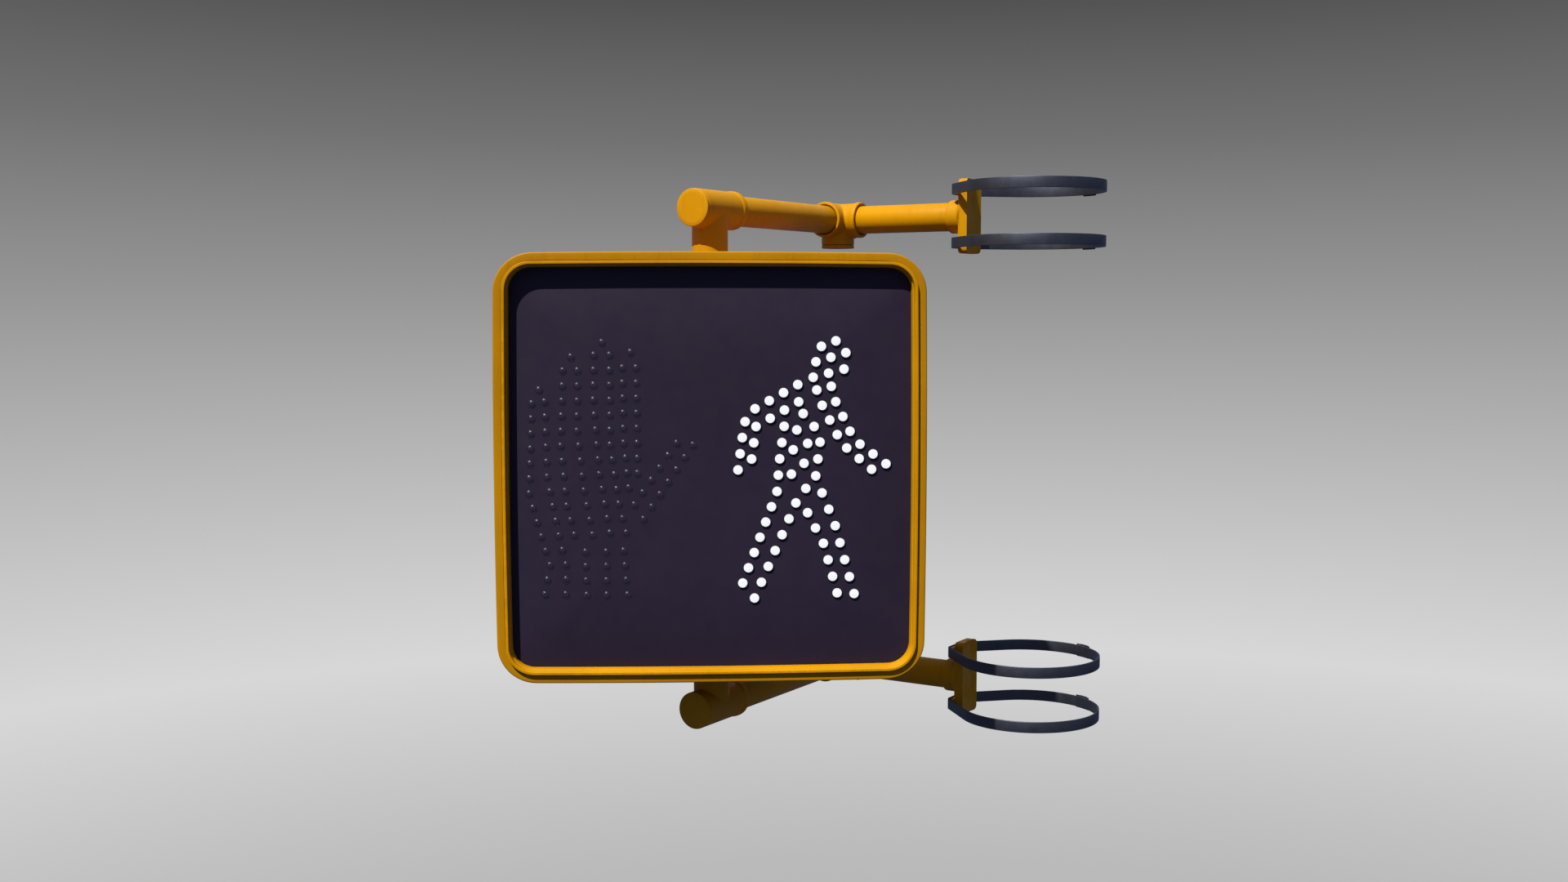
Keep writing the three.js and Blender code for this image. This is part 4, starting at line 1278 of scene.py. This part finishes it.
def strip(x, y, z, bevel=0.4, steps=12):
    """Flat strip cut across its length, so that it can bend."""
    section = rounded(box_outline(y, z), bevel, steps=2)
    loops = []
    for i in range(steps + 1):
        along = x[0] + (x[1] - x[0]) * i / steps
        loops.append([(along, out, up) for out, up in section])
    return skin(loops)


def buckle():
    """Strap buckle: a saddle with two ears folded over the strap, and the strap's tail turned back."""
    half = BAND_H / 2
    low = BAND_T + GAP
    saddle = strip((-11, 11), (low, low + 1.2), (-half - 1.4, half + 1.4))
    ears = [strip((-6, 6), (low + 1, low + 2.6), about(middle, 2.2), 0.7)
            for middle in (half - 0.8, 0.8 - half)]
    tail = strip((-8, 12.6), (low + 1.3, low + 2.3), (-half + 3.4, half - 3.4))
    curl = strip((12, 14.4), (low, low + 3.4), (-half + 3.4, half - 3.4), 0.9, 4)
    middle = PIPE_Z + BAND_RISE
    return moved(wrapped(together(saddle, *ears, tail, curl)), Matrix.Translation((0, 0, middle)))


def stem():
    """Hollow stem, threaded all along."""
    return threaded_rod(STEM_R, 1.0, 2.3, *span("upper_stem", Z), Z, STEM_AXIS, 64, STEM_BORE)


def locknut():
    """Hexagon nut with its corners turned off on both faces."""
    low, high = span("upper_locknut", Z)
    angles = [0.2 + math.pi / 3 * i for i in range(6)]
    corners = [(24 * math.cos(a), 24 * math.sin(a)) for a in angles]
    hexagon = prism(corners, low - 1, high + 1, Z, STEM_AXIS)
    disc = turned([
        (0, low, 0), (21, low, 0.3), (24.4, low + 2, 0.3),
        (24.4, high - 2, 0.3), (21, high, 0.3), (0, high, 0),
    ], 0.3, Z, STEM_AXIS, 96)
    nut = boolean("INTERSECT", hexagon, [disc])
    return merged(cut(nut, rod(STEM_R + 0.1, low - 2, high + 2, Z, STEM_AXIS)))


def hub_gasket():
    return tube(RISER_R, STEM_R + GAP, *span("upper_hub_gasket", Z), Z, STEM_AXIS, 0.8, 96)


def at_bands(name, make):
    """The two bands' piece on each bracket: the outer one as made, the inner one mirrored about the arm."""
    mesh = make()
    to_arm = Matrix.Translation((0, 0, PIPE_Z))
    mirror = to_arm @ Matrix.Diagonal((1, 1, -1, 1)) @ Matrix.Translation((0, 0, -PIPE_Z))
    both_ends(f"outer_{name}", mesh, BRACKET, "bracket", "band_steel")
    both_ends(f"inner_{name}", moved(mesh, mirror), BRACKET, "bracket", "band_steel")


def make_bracket():
    cap = flat_plug(FITTING_R, PIPE_R, CAP_FRONT + ARM, 1, Y, (-REACH, -ARM, PIPE_Z))
    stub_plug = flat_plug(STUB_R, PIPE_R - 1, PLUG_END, 1, Z, (-REACH, 0, 0), 0.25)
    front_arm = arm_pipe("upper_front_arm", Y, CENTRE)
    pole_arm = arm_pipe("upper_pole_arm", X, (0, 0, PIPE_Z))
    for name, mesh, finish in (
        ("tee", tee(), "casting_paint"), ("tee_cap", cap, "casting_paint"),
        ("centre_fitting", centre_fitting(), "casting_paint"), ("stub_plug", stub_plug, "casting_paint"),
        ("rear_plug", rear_plug(), "casting_paint"), ("pole_plate", pole_plate(), "casting_paint"),
        ("front_arm", front_arm, "arm_paint"), ("pole_arm", pole_arm, "arm_paint"),
        ("stem", stem(), "zinc"), ("locknut", locknut(), "zinc"), ("hub_gasket", hub_gasket(), "rubber"),
    ):
        both_ends(name, mesh, BRACKET, "bracket", finish)
    at_bands("band", band)
    at_bands("buckle", buckle)


make_door()
make_door_inside()
make_head()
make_bracket()

# ---------------------------------------------------------------- camera
CAMERA_PLACE = (-0.4136, -1.989, 0.172)
CAMERA_HEADING, CAMERA_PITCH = 3.12, -4.51
CAMERA_LENS = 37.65


def add_camera():
    data = bpy.data.cameras.new("camera")
    data.lens = CAMERA_LENS
    data.sensor_width = 36
    camera = new_object("camera", data)
    camera.location = CAMERA_PLACE
    camera.rotation_euler = (math.radians(90 + CAMERA_PITCH), 0, -math.radians(CAMERA_HEADING))
    bpy.context.scene.camera = camera


add_camera()

# ---------------------------------------------------------------- floor, backdrop and light
FLOOR_Z = -1.4
ROOM_R, ROOM_TOP, COVE_R = 5.0, 4.5, 1.8
# The backdrop's painted light and shade: the grey it glows at each level, from the height plus a share of the
# distance from the middle, so that the flat floor shades off too.
FLOOR_SLOPE = 0.25
BACKDROP_GLOW_STOPS = [
    (-1.4, 0.4), (-0.75, 0.49), (-0.05, 0.68), (0.85, 0.46), (1.55, 0.29), (2.15, 0.165), (2.75, 0.08),
]
SKY = (0.45, 0.55, 0.95)
SKY_STRENGTH = (0.1, 0.5)        # straight down and straight up


def backdrop_profile():
    """Radius and height of the floor, its cove and the wall, in metres."""
    cove = [math.pi / 2 * i / 16 for i in range(17)]
    return ([(0.0, FLOOR_Z), (ROOM_R * 0.4, FLOOR_Z)]
            + [(ROOM_R - COVE_R + COVE_R * math.sin(a), FLOOR_Z + COVE_R * (1 - math.cos(a))) for a in cove]
            + [(ROOM_R, ROOM_TOP)])


def backdrop_glow_material():
    """Pale floor that rises into a darker wall: light and shade painted as a glow, the same all the way round."""
    recipe = Recipe("backdrop", Base_Color=(0, 0, 0, 1), Specular_IOR_Level=0.0, Emission_Strength=1.0)
    split = recipe.node("ShaderNodeSeparateXYZ")
    recipe.join(recipe.place, split.inputs[0])
    flat = recipe.node("ShaderNodeVectorMath", operation="MULTIPLY")
    flat.inputs[1].default_value = (1, 1, 0)
    recipe.join(recipe.place, flat.inputs[0])
    radius = recipe.node("ShaderNodeVectorMath", operation="LENGTH")
    recipe.join(flat.outputs["Vector"], radius.inputs[0])
    rise = recipe.node("ShaderNodeMath", operation="MULTIPLY_ADD")
    recipe.join(radius.outputs["Value"], rise.inputs[0])
    rise.inputs[1].default_value = FLOOR_SLOPE
    recipe.join(split.outputs["Z"], rise.inputs[2])
    low, high = BACKDROP_GLOW_STOPS[0][0], BACKDROP_GLOW_STOPS[-1][0]
    ramp = recipe.node("ShaderNodeValToRGB")
    while len(ramp.color_ramp.elements) < len(BACKDROP_GLOW_STOPS):
        ramp.color_ramp.elements.new(0.5)
    for element, (level, grey) in zip(ramp.color_ramp.elements, BACKDROP_GLOW_STOPS):
        element.position = (level - low) / (high - low)
        element.color = (grey, grey, grey, 1)
    recipe.join(recipe.spread(rise.outputs["Value"], low, high), ramp.inputs["Fac"])
    # The ramp's grey is painted light: the backdrop glows it instead of being lit.
    recipe.join(ramp.outputs["Color"], recipe.shader.inputs["Emission Color"])
    recipe.material.cycles.emission_sampling = "NONE"
    return recipe.material


def add_backdrop():
    """Round floor and wall that light and shadow nothing."""
    segments = 96
    vertices = []
    for radius, z in backdrop_profile():
        for i in range(segments):
            a = math.tau * i / segments
            vertices.append((radius * math.cos(a), radius * math.sin(a), z))
    rows = len(vertices) // segments
    faces = [
        (row * segments + i, row * segments + (i + 1) % segments,
         (row + 1) * segments + (i + 1) % segments, (row + 1) * segments + i)
        for row in range(rows - 1) for i in range(segments)
    ]
    mesh = to_mesh(vertices, faces)
    mesh.materials.append(backdrop_glow_material())
    mesh.shade_smooth()
    obj = new_object("backdrop", mesh)
    obj.visible_diffuse = False
    obj.visible_glossy = False
    obj.visible_shadow = False


def add_sun(name, towards, energy, size, glossy=True):
    """Light from one direction, which reflections show only if it is glossy."""
    data = bpy.data.lights.new(name, "SUN")
    data.energy = energy
    data.angle = math.radians(size)
    sun = new_object(name, data)
    sun.visible_glossy = glossy
    sun.rotation_mode = "QUATERNION"
    sun.rotation_quaternion = Vector(towards).to_track_quat("Z", "Y")


def add_world():
    """Blue sky light, strongest overhead and faint from below."""
    world = bpy.data.worlds.new("studio")
    world.use_nodes = True
    nodes, links = world.node_tree.nodes, world.node_tree.links
    place = nodes.new("ShaderNodeTexCoord")
    split = nodes.new("ShaderNodeSeparateXYZ")
    rise = nodes.new("ShaderNodeMapRange")
    set_range(rise, -1, 1, *SKY_STRENGTH)
    background = nodes["Background"]
    background.inputs["Color"].default_value = (*SKY, 1)
    links.new(place.outputs["Generated"], split.inputs[0])
    links.new(split.outputs["Z"], rise.inputs["Value"])
    links.new(rise.outputs["Result"], background.inputs["Strength"])
    bpy.context.scene.world = world


add_backdrop()
add_sun("key", (-0.358, -0.452, 0.817), 6.6, 0.8)
add_sun("fill", (0.3, 0.93, 0.2), 1.7, 25, glossy=False)
add_world()

bpy.context.scene.view_settings.view_transform = "Standard"
